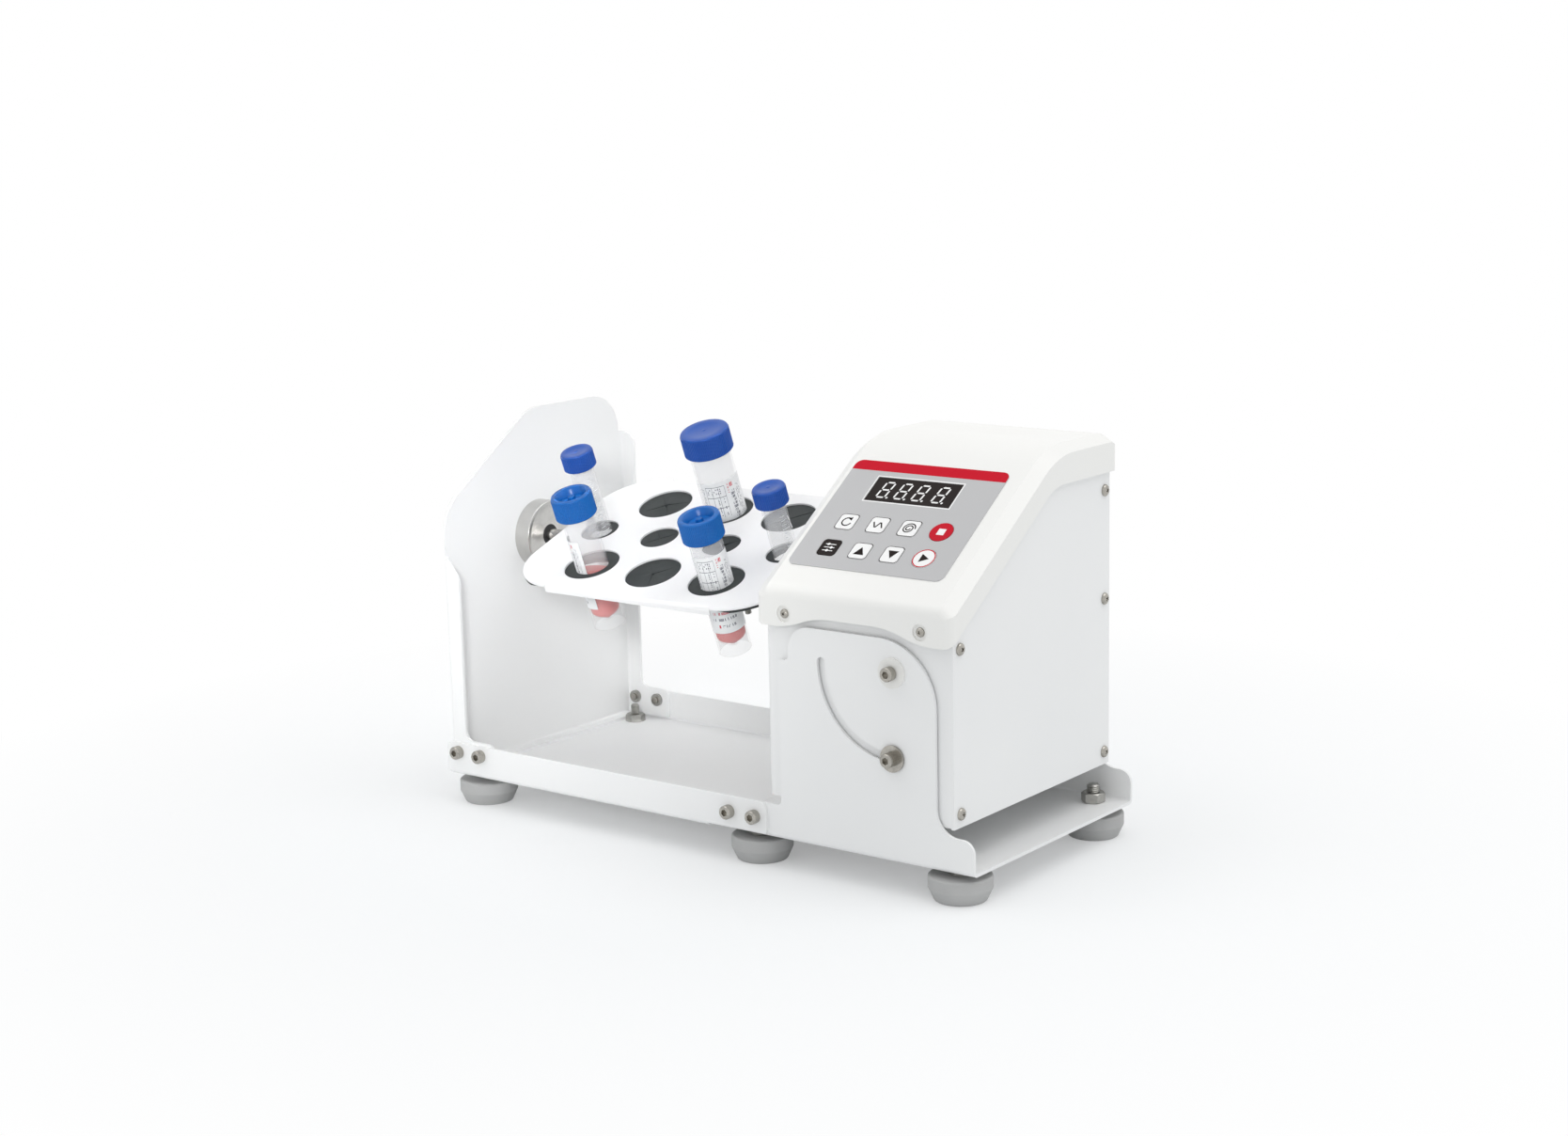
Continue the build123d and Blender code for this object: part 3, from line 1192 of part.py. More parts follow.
def tube_body(column, row, cap_radius, cap_height, radius, cap_top, tip, skirted):
    """Clear tube: threaded neck, straight body, cone of even wall, and on some a standing skirt."""
    neck = cap_radius - CAP_WALL
    rim = cap_top - CAP_TOP - RIM_GAP
    shoulder = cap_top - cap_height + NECK_SHOWS
    bore = radius - WALL
    cone_rise = radius * (SHORT_CONE if skirted else LONG_CONE)
    cone_run = radius - POINT
    slant = hypot(cone_run, cone_rise)
    point_z = tip + (SKIRT_DROP if skirted else 0)
    cone_z = point_z + cone_rise
    inner_cone_z = cone_z + WALL * (slant - cone_rise) / cone_run
    inner_point = POINT - WALL * (slant - cone_run) / cone_rise
    body = turned(
        (0, point_z, 0),
        (POINT, point_z, 1.0),
        (radius, cone_z, 4.0),
        (radius, shoulder, 0.5),
        (neck, shoulder + 0.8, 0.2),
        (neck, rim, 0.2),
        (bore, rim, 0),
        (bore, inner_cone_z, 4.0),
        (inner_point, point_z + WALL, 0.5),
        (0, point_z + WALL, 0),
    )
    if skirted:
        body += Pos(0, 0, tip) * ring(radius, bore, cone_z + 2.0 - tip)
    return tube_frame(column, row) * body


def cap_plug(cap, cap_top, bore):
    """Sink a hollow with a centre nub into a cap's top; its wall hangs into the tube's mouth."""
    floor = cap_top - RECESS_DEEP
    plug = bore - PLUG_EASE
    hollow = plug - PLUG_WALL
    cap += Pos(0, 0, floor - PLUG_WALL) * Cylinder(plug, RECESS_DEEP, align=BASE_ALIGN)
    cap -= turned(
        (0, floor, 0),
        (hollow, floor, 0.5),
        (hollow, cap_top - 1.4, 0),
        (hollow + 1.8, cap_top + 0.1, 0),
        (0, cap_top + 0.1, 0),
    )
    return cap + Pos(0, 0, floor) * Cylinder(NUB_RADIUS, RECESS_DEEP - NUB_SUNK, align=BASE_ALIGN)


def tube_cap(column, row, cap_radius, cap_height, radius, cap_top, tip, skirted):
    """Screw cap; the skirted tubes' caps are hollowed on top."""
    low = cap_top - cap_height
    thread = cap_radius - CAP_WALL + RUN_FIT
    cap = turned((0, low, 0), (cap_radius, low, 0.4), (cap_radius, cap_top, 1.0), (0, cap_top, 0))
    cap -= Pos(0, 0, low) * Cylinder(thread, cap_height - CAP_TOP, align=BASE_ALIGN)
    if skirted:
        cap = cap_plug(cap, cap_top, radius - WALL)
    return tube_frame(column, row) * cap


# ---------------------------------------------------------------- write every piece
PIECES = {
    "base_bracket": base_bracket,
    "tail_tray": tail_tray,
    "end_plate": end_plate,
    "bearing_hub": bearing_hub,
    "hub_bearing": hub_bearing,
    "shaft_seal": shaft_seal,
    "hub_screws": hub_screws,
    "tail_spindle": tail_spindle,
    "rubber_feet": rubber_feet,
    "foot_bolts": foot_bolts,
    "foot_nuts": foot_nuts,
    "tray_screws": tray_screws,
    "clinch_nuts": clinch_nuts,
    "pivot_bushes": pivot_bushes,
    "pivot_screws": pivot_screws,
    "clamp_screws": clamp_screws,
    "clamp_washers": clamp_washers,
    "head_chassis": head_chassis,
    "side_panel": side_panel,
    "panel_screws": panel_screws,
    "top_cover": top_cover,
    "cover_screws": cover_screws,
    "control_overlay": control_overlay,
    "circuit_board": circuit_board,
    "display_module": display_module,
    "drive_motor": drive_motor,
    "motor_standoffs": motor_standoffs,
    "motor_screws": motor_screws,
    "output_bearing": output_bearing,
    "output_shaft": output_shaft,
    "power_supply": power_supply,
    "power_inlet": power_inlet,
    "switch_frame": switch_frame,
    "switch_rocker": switch_rocker,
    "rotor_top_plate": rotor_top_plate,
    "rotor_rubber": rotor_rubber,
    "rotor_back_plate": rotor_back_plate,
    "rotor_studs": rotor_studs,
    "drive_block": drive_block,
    "drive_set_screw": drive_set_screw,
    "cradle_block": cradle_block,
}


def write(name, shape):
    solids = shape if isinstance(shape, list) else [shape]
    whole = Compound(children=solids) if len(solids) > 1 else solids[0]
    export_step(whole, f"parts/{name}.step")
    box = whole.bounding_box()
    print(f"{name}: {box.min.X:.1f} {box.min.Y:.1f} {box.min.Z:.1f} to "
          f"{box.max.X:.1f} {box.max.Y:.1f} {box.max.Z:.1f}")


def main():
    os.makedirs("parts", exist_ok=True)
    for name, build in PIECES.items():
        write(name, build())
    for number, place in enumerate(key_places(), start=1):
        write(f"key_{number}", key(*place))
    for name, *sizes in TUBES:
        write(name, tube_body(*sizes))
        write(name.replace("tube", "tube_cap"), tube_cap(*sizes))


main()
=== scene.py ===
# %% [markdown]
# # A tube rotator, dressed in Blender
# The machine is a laboratory mixer. A drive head on the right tilts on two pivots, a folded tail post
# stands on the left, and a pierced white plate turns between them with capped tubes in its holes.
# The solid model already has every real shape and joint. This lesson loads it as a fixed frame, gives
# each surface its finish, and models the small things that a solid model leaves plain: screw recesses,
# threads, ribbed caps, labels, liquid and key symbols. Lengths are in metres, +X to the drive head,
# +Y to the back and +Z up.

# %% Load the solid model
import math
import random

import bpy
import bmesh
from mathutils import Matrix, Vector


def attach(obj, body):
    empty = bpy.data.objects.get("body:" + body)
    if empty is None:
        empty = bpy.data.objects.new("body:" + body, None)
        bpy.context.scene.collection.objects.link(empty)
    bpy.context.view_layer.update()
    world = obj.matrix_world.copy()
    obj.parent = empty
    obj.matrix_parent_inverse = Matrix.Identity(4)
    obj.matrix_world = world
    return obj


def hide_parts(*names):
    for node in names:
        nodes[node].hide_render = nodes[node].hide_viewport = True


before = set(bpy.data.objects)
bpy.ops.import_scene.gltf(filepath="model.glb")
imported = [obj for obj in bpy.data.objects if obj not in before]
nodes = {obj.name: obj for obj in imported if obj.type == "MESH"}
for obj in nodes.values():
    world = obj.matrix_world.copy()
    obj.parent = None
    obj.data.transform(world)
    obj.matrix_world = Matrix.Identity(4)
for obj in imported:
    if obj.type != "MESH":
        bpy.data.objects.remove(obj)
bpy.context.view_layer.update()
MM = 0.001

# %% [markdown]
# ## The camera
# The camera stands far back and a little above the machine, with a fairly long lens, so that upright
# edges stay nearly parallel. It is placed by a position and three angles: how far it is turned round
# the machine, how far it looks down, and a slight roll of the horizon.

# %% Camera
CAMERA_PLACE = (0.96155, -1.24970, 0.47211)
TURN, LOOK_DOWN, ROLL = math.radians(37.387), math.radians(11.119), math.radians(-1.226)


def show(name, data):
    """Put data into the scene as an object."""
    thing = bpy.data.objects.new(name, data)
    bpy.context.scene.collection.objects.link(thing)
    return thing


camera_data = bpy.data.cameras.new("camera")
camera_data.sensor_width = 36.0
camera_data.lens = 58.45
camera_data.clip_start, camera_data.clip_end = 0.05, 30.0
camera = show("camera", camera_data)
turn = Matrix.Rotation(TURN, 4, "Z") @ Matrix.Rotation(math.pi / 2 - LOOK_DOWN, 4, "X")
camera.matrix_world = Matrix.Translation(CAMERA_PLACE) @ turn @ Matrix.Rotation(ROLL, 4, "Z")
bpy.context.scene.camera = camera
print("camera stands", round(camera.location.length, 2), "m from the machine's middle")

# %% [markdown]
# ## Helpers for materials
# Every finish here is a Principled BSDF with its plain numbers set on its own sockets. What varies over
# a surface, such as the orange-peel of powder coating or the grain of moulded plastic, comes from noise
# on Object coordinates. Three small node groups hold the effects that many finishes share: a bump, a
# drift of tone, and a gloss that handling has made uneven. A group is built once and used with other
# numbers each time.


# %% Node helpers
FLOAT, COLOR, VECTOR = "NodeSocketFloat", "NodeSocketColor", "NodeSocketVector"
MIX_FIRST, MIX_SECOND, MIX_RESULT = 6, 7, 2  # a Mix node's colour sockets go by number


def chain(tree, kind, inputs=(), **settings):
    """Add a node and set its plain attributes and the values of its own sockets."""
    node = tree.nodes.new(kind)
    for name, value in settings.items():
        setattr(node, name, value)
    for socket, value in dict(inputs).items():
        node.inputs[socket].default_value = value
    return node


def new_group(name, inputs, output):
    """A node group with its sockets, and the nodes where values enter and leave it."""
    group = bpy.data.node_groups.new(name, "ShaderNodeTree")
    for label, kind, value in inputs:
        socket = group.interface.new_socket(name=label, in_out="INPUT", socket_type=kind)
        socket.default_value = value
    group.interface.new_socket(name=output[0], in_out="OUTPUT", socket_type=output[1])
    return group, chain(group, "NodeGroupInput"), chain(group, "NodeGroupOutput")


def object_noise(group, entry, detail, distortion=0.0):
    """Noise on Object coordinates, at the Scale that the group is given."""
    place = chain(group, "ShaderNodeTexCoord")
    noise = chain(group, "ShaderNodeTexNoise", {"Detail": detail, "Distortion": distortion})
    group.links.new(place.outputs["Object"], noise.inputs["Vector"])
    group.links.new(entry.outputs["Scale"], noise.inputs["Scale"])
    return noise.outputs["Fac"]


# %% Three shared groups
def build_grain_group():
    """Fine bump, for powder coat, moulded plastic and rubber."""
    group, entry, leave = new_group(
        "surface_grain", [("Scale", FLOAT, 900.0), ("Strength", FLOAT, 0.1), ("Depth", FLOAT, 0.0002)],
        ("Normal", VECTOR))
    bump = chain(group, "ShaderNodeBump")
    link = group.links.new
    link(object_noise(group, entry, 2.0), bump.inputs["Height"])
    link(entry.outputs["Strength"], bump.inputs["Strength"])
    link(entry.outputs["Depth"], bump.inputs["Distance"])
    link(bump.outputs["Normal"], leave.inputs["Normal"])
    return group


def build_drift_group():
    """Slow change between two tones across a surface."""
    white = (1, 1, 1, 1)
    group, entry, leave = new_group(
        "tone_drift", [("Tone", COLOR, white), ("Other Tone", COLOR, white), ("Scale", FLOAT, 12.0)],
        ("Color", COLOR))
    spread = chain(group, "ShaderNodeMapRange", {"From Min": 0.35, "From Max": 0.65})
    mix = chain(group, "ShaderNodeMix", data_type="RGBA")
    link = group.links.new
    link(object_noise(group, entry, 4.0), spread.inputs["Value"])
    link(spread.outputs["Result"], mix.inputs["Factor"])
    link(entry.outputs["Tone"], mix.inputs[MIX_FIRST])
    link(entry.outputs["Other Tone"], mix.inputs[MIX_SECOND])
    link(mix.outputs[MIX_RESULT], leave.inputs["Color"])
    return group


def build_polish_group():
    """Roughness that varies a little, as handling and polishing leave it."""
    group, entry, leave = new_group(
        "handled_gloss", [("Low", FLOAT, 0.3), ("High", FLOAT, 0.45), ("Scale", FLOAT, 40.0)],
        ("Roughness", FLOAT))
    spread = chain(group, "ShaderNodeMapRange")
    link = group.links.new
    link(object_noise(group, entry, 5.0, 0.6), spread.inputs["Value"])
    link(entry.outputs["Low"], spread.inputs["To Min"])
    link(entry.outputs["High"], spread.inputs["To Max"])
    link(spread.outputs["Result"], leave.inputs["Roughness"])
    return group


grain_group, drift_group, polish_group = build_grain_group(), build_drift_group(), build_polish_group()
print("groups:", [group.name for group in bpy.data.node_groups])


# %% A finish from the three groups
def use_group(tree, group, **values):
    """Place a group in a tree; other_tone=... sets its socket Other Tone."""
    node = chain(tree, "ShaderNodeGroup", node_tree=group)
    for name, value in values.items():
        node.inputs[name.replace("_", " ").title()].default_value = value
    return node


def finish(name, tone, other=None, drift=12.0, gloss=(0.35, 0.45), smear=40.0, metal=0.0, grain=None,
           ior=1.5):
    """A material: two close tones, a gloss range, and grain as (scale per metre, strength, depth)."""
    material = bpy.data.materials.new(name)
    material.use_nodes = True
    tree = material.node_tree
    shader = tree.nodes["Principled BSDF"]
    shader.inputs["Metallic"].default_value = metal
    shader.inputs["IOR"].default_value = ior
    other = other or tuple(0.94 * v for v in tone)
    paint = use_group(tree, drift_group, tone=(*tone, 1), other_tone=(*other, 1), scale=drift)
    rub = use_group(tree, polish_group, low=gloss[0], high=gloss[1], scale=smear)
    tree.links.new(paint.outputs["Color"], shader.inputs["Base Color"])
    tree.links.new(rub.outputs["Roughness"], shader.inputs["Roughness"])
    if grain:
        skin = use_group(tree, grain_group, scale=grain[0], strength=grain[1], depth=grain[2])
        tree.links.new(skin.outputs["Normal"], shader.inputs["Normal"])
    material.diffuse_color = (*tone, 1)
    return material


# %% [markdown]
# ## Painted and moulded finishes
# The base, the tail post and the head's box are folded steel with a baked powder coat: white, a little
# cool, half gloss, with a very fine orange-peel. The head's cover is moulded plastic, a warmer white
# with a softer shine. The tube plate has a smoother coat. All three are white, and what tells them
# apart is their tint, their shine and their grain.

# %% Painted and moulded finishes
powder_white = finish("powder_white", (0.868, 0.872, 0.872), (0.850, 0.856, 0.858), 9.0,
                      (0.36, 0.46), 30.0, grain=(1400.0, 0.12, 0.00015))
cover_white = finish("cover_white", (0.872, 0.870, 0.852), (0.860, 0.857, 0.834), 7.0,
                     (0.34, 0.44), 25.0, grain=(2600.0, 0.06, 0.0001))
plate_white = finish("plate_white", (0.868, 0.868, 0.872), (0.856, 0.857, 0.862), 14.0,
                     (0.28, 0.38), 35.0, grain=(1700.0, 0.06, 0.0001))
nylon_white = finish("nylon_white", (0.86, 0.855, 0.83), None, 60.0, (0.4, 0.55), 200.0,
                     grain=(3000.0, 0.1, 0.0001))
foot_grey = finish("foot_grey", (0.470, 0.471, 0.468), (0.430, 0.432, 0.430), 30.0,
                   (0.62, 0.8), 90.0, grain=(2200.0, 0.25, 0.00015))
grip_black = finish("grip_black", (0.024, 0.029, 0.030), (0.042, 0.047, 0.047), 45.0,
                    (0.5, 0.72), 90.0, grain=(1800.0, 0.2, 0.0001), ior=1.35)
seal_black = finish("seal_black", (0.012, 0.012, 0.013), None, 60.0, (0.4, 0.6), 90.0)
moulded_black = finish("moulded_black", (0.022, 0.022, 0.024), (0.03, 0.03, 0.032), 60.0,
                       (0.35, 0.5), 120.0, grain=(3200.0, 0.2, 0.0001))
motor_black = finish("motor_black", (0.03, 0.03, 0.032), (0.045, 0.045, 0.05), 50.0,
                     (0.4, 0.55), 60.0, grain=(1500.0, 0.15, 0.0001))
board_green = finish("board_green", (0.02, 0.16, 0.07), (0.03, 0.22, 0.1), 80.0, (0.3, 0.45), 90.0)
print("painted and moulded finishes made")

# %% [markdown]
# ## Metal finishes
# Screws are nickel plated, nuts and studs are zinc plated, and the tail hub is turned stainless steel.
# Turning leaves fine rings round the axis, and they stretch each highlight into a fan. Rings are a bump
# on the distance from the axis; the stretched highlight is the shader's own anisotropy.

# %% Metal finishes
nickel = finish("nickel", (0.46, 0.44, 0.40), (0.36, 0.345, 0.315), 300.0, (0.16, 0.3), 400.0, metal=1.0,
                grain=(4000.0, 0.1, 0.00005))
zinc = finish("zinc", (0.47, 0.465, 0.44), (0.37, 0.365, 0.345), 240.0, (0.26, 0.42), 300.0, metal=1.0,
              grain=(3500.0, 0.15, 0.00005))
machined = finish("machined", (0.66, 0.66, 0.66), (0.58, 0.58, 0.58), 120.0, (0.28, 0.4), 200.0,
                  metal=1.0, grain=(2500.0, 0.15, 0.00005))


def turned_steel(name, axis_y, axis_z, pitch):
    """Stainless steel with turning rings round an axis parallel to X."""
    material = finish(name, (0.64, 0.63, 0.61), (0.54, 0.535, 0.52), 60.0, (0.2, 0.3), 90.0, metal=1.0)
    tree = material.node_tree
    shader = tree.nodes["Principled BSDF"]
    shader.inputs["Anisotropic"].default_value = 0.75
    place = chain(tree, "ShaderNodeTexCoord")
    shift = chain(tree, "ShaderNodeMapping", {"Location": (0, -axis_y, -axis_z)})
    flat = chain(tree, "ShaderNodeVectorMath", {1: (0, 1, 1)}, operation="MULTIPLY")
    reach = chain(tree, "ShaderNodeVectorMath", operation="LENGTH")
    wave = chain(tree, "ShaderNodeMath", {1: math.tau / pitch}, operation="MULTIPLY")
    swing = chain(tree, "ShaderNodeMath", operation="SINE")
    bump = chain(tree, "ShaderNodeBump", {"Strength": 0.12, "Distance": 0.00005})
    round_axis = chain(tree, "ShaderNodeTangent", direction_type="RADIAL", axis="X")
    link = tree.links.new
    link(place.outputs["Object"], shift.inputs["Vector"])
    link(shift.outputs["Vector"], flat.inputs[0])
    link(flat.outputs["Vector"], reach.inputs[0])
    link(reach.outputs["Value"], wave.inputs[0])
    link(wave.outputs["Value"], swing.inputs[0])
    link(swing.outputs["Value"], bump.inputs["Height"])
    link(bump.outputs["Normal"], shader.inputs["Normal"])
    link(round_axis.outputs["Tangent"], shader.inputs["Tangent"])
    return material


AXIS_HEIGHT, RING_PITCH = 166.0, 0.45
turned = turned_steel("turned_steel", 0.0, AXIS_HEIGHT * MM, RING_PITCH * MM)
print("metal finishes made")

# %% [markdown]
# ## Give each solid its finish
# The solid model's own surfaces stay as they are, since their shape is right. Each one only gets the
# material of its piece. A dictionary from finish to pieces is easier to read, and to change, than a
# separate line for each.

# %% Dress the solid pieces
def dress(material, *names):
    """Give solid pieces one finish in place of their own."""
    for name in names:
        mesh = nodes[name].data
        mesh.materials.clear()
        mesh.materials.append(material)


DRESS = {
    powder_white: ("base_bracket", "tail_tray", "end_plate", "head_chassis", "side_panel"),
    cover_white: ("top_cover",),
    plate_white: ("rotor_top_plate", "rotor_back_plate"),
    nylon_white: ("pivot_bushes",),
    foot_grey: ("rubber_feet",),
    grip_black: ("rotor_rubber",),
    seal_black: ("shaft_seal",),
    turned: ("bearing_hub", "hub_bearing", "tail_spindle", "output_bearing", "output_shaft"),
    nickel: ("clamp_washers",),
    zinc: ("clinch_nuts", "drive_set_screw"),
    machined: ("drive_block", "cradle_block", "motor_standoffs", "power_supply"),
    motor_black: ("drive_motor",),
    board_green: ("circuit_board",),
    moulded_black: ("power_inlet", "switch_frame", "switch_rocker"),
}
for material, names in DRESS.items():
    dress(material, *names)
print(sum(len(names) for names in DRESS.values()), "solid pieces dressed")

# %% [markdown]
# ## Floor, sky and lamps
# The machine stands on a white sweep with soft light from every side, so its shadows are faint. The sky
# lights it evenly, two large lamps above make the tops a little brighter than the sides, and a narrow
# one reaches past the head to the tail post's inner face. The floor is white to the camera and to
# anything that mirrors or looks through to it, and it keeps a soft shadow: near the machine most of
# what it shows is its own lit surface, and that fades into plain white further out.

# %% Floor
WHITE = (1, 1, 1, 1)
FLOOR_TONE = (0.90, 0.915, 0.925, 1)
SHADOW_FADE = {"From Min": 0.26, "From Max": 0.62, "To Min": 0.72, "To Max": 0.0}  # metres, lit share


def see_through_mask(tree):
    """1 where a ray comes from the camera, a reflection or a clear body, else 0."""
    path = chain(tree, "ShaderNodeLightPath")
    total = path.outputs["Is Camera Ray"]
    for ray in ("Is Glossy Ray", "Is Transmission Ray"):
        either = chain(tree, "ShaderNodeMath", operation="MAXIMUM")
        tree.links.new(total, either.inputs[0])
        tree.links.new(path.outputs[ray], either.inputs[1])
        total = either.outputs["Value"]
    return total


def choose(tree, factor, first, second):
    """The second shader where the factor is 1, and the first where it is 0."""
    pick = chain(tree, "ShaderNodeMixShader")
    for source, socket in zip((factor, first.outputs[0], second.outputs[0]), pick.inputs):
        tree.links.new(source, socket)
    return pick


def build_floor_material():
    """Lit paint that fades to plain white with distance, for the rays that see the floor."""
    material = bpy.data.materials.new("sweep_white")
    material.use_nodes = True
    tree = material.node_tree
    tree.nodes.clear()
    lit = chain(tree, "ShaderNodeBsdfDiffuse", {"Color": FLOOR_TONE})
    plain = chain(tree, "ShaderNodeEmission", {"Color": WHITE, "Strength": 1.0})
    place = chain(tree, "ShaderNodeNewGeometry")
    reach = chain(tree, "ShaderNodeVectorMath", operation="LENGTH")
    fade = chain(tree, "ShaderNodeMapRange", SHADOW_FADE)
    leave = chain(tree, "ShaderNodeOutputMaterial")
    tree.links.new(place.outputs["Position"], reach.inputs[0])
    tree.links.new(reach.outputs["Value"], fade.inputs["Value"])
    shown = choose(tree, fade.outputs["Result"], plain, lit)
    whole = choose(tree, see_through_mask(tree), lit, shown)
    tree.links.new(whole.outputs[0], leave.inputs["Surface"])
    return material


floor_shape = bmesh.new()
bmesh.ops.create_grid(floor_shape, x_segments=2, y_segments=2, size=6.0)
floor_mesh = bpy.data.meshes.new("floor")
floor_shape.to_mesh(floor_mesh)
floor_shape.free()
floor_mesh.materials.append(build_floor_material())
floor = show("floor", floor_mesh)

# %% Sky
SKY_TONE, SKY_STRENGTH = (0.995, 1.0, 1.0, 1), 0.76
sky = bpy.data.worlds.new("soft_sky")
bpy.context.scene.world = sky
sky.use_nodes = True
sky_tree = sky.node_tree
sky_tree.nodes.clear()
seen = chain(sky_tree, "ShaderNodeBackground", {"Color": WHITE, "Strength": 1.0})
glow = chain(sky_tree, "ShaderNodeBackground", {"Color": SKY_TONE, "Strength": SKY_STRENGTH})
both = choose(sky_tree, see_through_mask(sky_tree), glow, seen)
sky_out = chain(sky_tree, "ShaderNodeOutputWorld")
sky_tree.links.new(both.outputs[0], sky_out.inputs["Surface"])


# %% Lamps
def soft_lamp(name, place, aim, size, watts, spread=180.0):
    """Round area lamp at a place, aimed at a point."""
    data = bpy.data.lights.new(name, "AREA")
    data.shape = "DISK"
    data.size = size
    data.energy = watts
    data.spread = math.radians(spread)
    lamp = show(name, data)
    lamp.location = place
    lamp.rotation_euler = (Vector(aim) - Vector(place)).to_track_quat("-Z", "Y").to_euler()


MIDDLE, POST_FACE = (0.0, 0.0, 0.12), (-0.215, 0.02, 0.13)
soft_lamp("key_lamp", (-0.7, -0.7, 2.0), MIDDLE, 1.6, 5.0)
soft_lamp("top_lamp", (0.9, 0.3, 2.2), MIDDLE, 2.0, 13.5)
soft_lamp("post_lamp", (0.42, -0.95, 0.50), POST_FACE, 0.25, 0.12, 20.0)
bpy.context.scene.view_settings.view_transform = "Standard"

# %% [markdown]
# ## Helpers for new pieces
# Small parts are modelled with bmesh operators: spin for whatever a lathe makes, a cone for prisms, and
# a boolean for recesses. Each finished piece keeps its object at the origin, with its place in its
# mesh, and rides on the solid body that carries it.


# %% Shape helpers
def at(x, y, z=0.0):
    """Shift by millimetres."""
    return Matrix.Translation((x * MM, y * MM, z * MM))


def spun(points, start, sweep, steps, closed=False):
    """Spin a line of (radius, height) points round Z, from an angle and through a sweep."""
    bm = bmesh.new()
    verts = [bm.verts.new((radius * MM, 0, height * MM)) for radius, height in points]
    ends = verts[1:] + (verts[:1] if closed else [])
    edges = [bm.edges.new(pair) for pair in zip(verts, ends)]
    bmesh.ops.rotate(bm, verts=verts, cent=(0, 0, 0), matrix=Matrix.Rotation(start, 3, "Z"))
    bmesh.ops.spin(bm, geom=verts + edges, cent=(0, 0, 0), axis=(0, 0, 1), angle=sweep, steps=steps,
                   use_merge=sweep == math.tau)
    return bm


def lathe(points, steps=48, closed=False):
    """Spin (radius, height) points right round Z."""
    bm = spun(points, 0.0, math.tau, steps, closed)
    bmesh.ops.remove_doubles(bm, verts=bm.verts, dist=1e-6)
    bmesh.ops.recalc_face_normals(bm, faces=bm.faces)
    return bm


def prism(sides, radius, low, high):
    """Regular prism along Z; radius goes to its corners."""
    bm = bmesh.new()
    bmesh.ops.create_cone(bm, cap_ends=True, segments=sides, radius1=radius * MM, radius2=radius * MM,
                          depth=(high - low) * MM, matrix=at(0, 0, (low + high) / 2))
    return bm


def bar(width, depth, height, place=Matrix()):
    """Box centred on the origin of its place."""
    bm = bmesh.new()
    size = Matrix.Diagonal((width * MM, depth * MM, height * MM, 1))
    bmesh.ops.create_cube(bm, size=1.0, matrix=place @ size)
    return bm


print("shapes: spun, lathe, prism and bar")


# %% Join, cut and repeat
def as_mesh(bm, name="shape"):
    """A bmesh as a mesh; the bmesh is used up."""
    mesh = bpy.data.meshes.new(name)
    bm.to_mesh(mesh)
    bm.free()
    return mesh


def combine(blank, tool, operation):
    """Boolean of two closed shapes, as a mesh; its triangles can differ a little from run to run."""
    pair = []
    for bm in (blank, tool):
        pair.append(show("work", as_mesh(bm)))
    cut = pair[0].modifiers.new("cut", "BOOLEAN")
    cut.operation = operation
    cut.solver = "EXACT"
    cut.object = pair[1]
    bpy.context.view_layer.update()
    graph = bpy.context.evaluated_depsgraph_get()
    result = bpy.data.meshes.new_from_object(pair[0].evaluated_get(graph))
    for thing in pair:
        spent = thing.data
        bpy.data.objects.remove(thing)
        bpy.data.meshes.remove(spent)
    return result


def reopen(mesh):
    """A mesh back in a bmesh."""
    bm = bmesh.new()
    bm.from_mesh(mesh)
    return bm


def join(*shapes):
    """Several bmeshes as one."""
    whole = bmesh.new()
    for shape in shapes:
        mesh = as_mesh(shape)
        whole.from_mesh(mesh)
        bpy.data.meshes.remove(mesh)
    return whole


def repeat(mesh, places):
    """The mesh at each place, as one bmesh."""
    whole = bmesh.new()
    for place in places:
        first = len(whole.verts)
        whole.from_mesh(mesh)
        whole.verts.ensure_lookup_table()
        bmesh.ops.transform(whole, matrix=place, verts=whole.verts[first:])
    return whole


print("joins: combine, join and repeat")


# %% Finished pieces and places
def add_piece(name, bm, body, material, replaced=(), smooth_below=35.0):
    """Turn a bmesh into a finished piece that rides on a body."""
    mesh = as_mesh(bm, name)
    mesh.materials.append(material)
    mesh.shade_smooth()
    mesh.set_sharp_from_angle(angle=math.radians(smooth_below))
    piece = show(name, mesh)
    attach(piece, body)
    if replaced:
        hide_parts(*replaced)
    return piece


def aimed(direction, x, y, z, roll=0.0):
    """Place in millimetres whose local +Z points along direction."""
    turned_to = Vector(direction).to_track_quat("Z", "Y").to_matrix().to_4x4()
    return at(x, y, z) @ turned_to @ Matrix.Rotation(roll, 4, "Z")


TO_FRONT, TO_BACK, TO_LEFT, TO_RIGHT = (0, -1, 0), (0, 1, 0), (-1, 0, 0), (1, 0, 0)
random.seed(4)
print("shape helpers ready")

# %% [markdown]
# ## Cross-recess screws
# The cover, the side panel and the tail hub are held by domed screws with a cross recess. The dome and
# its shank are one lathe profile. The recess is a tapered cross: two boxes at right angles, each with
# its lower end narrowed, cut out by a boolean. Every screw stops at its own angle, so each copy gets a
# random turn from the seeded generator.


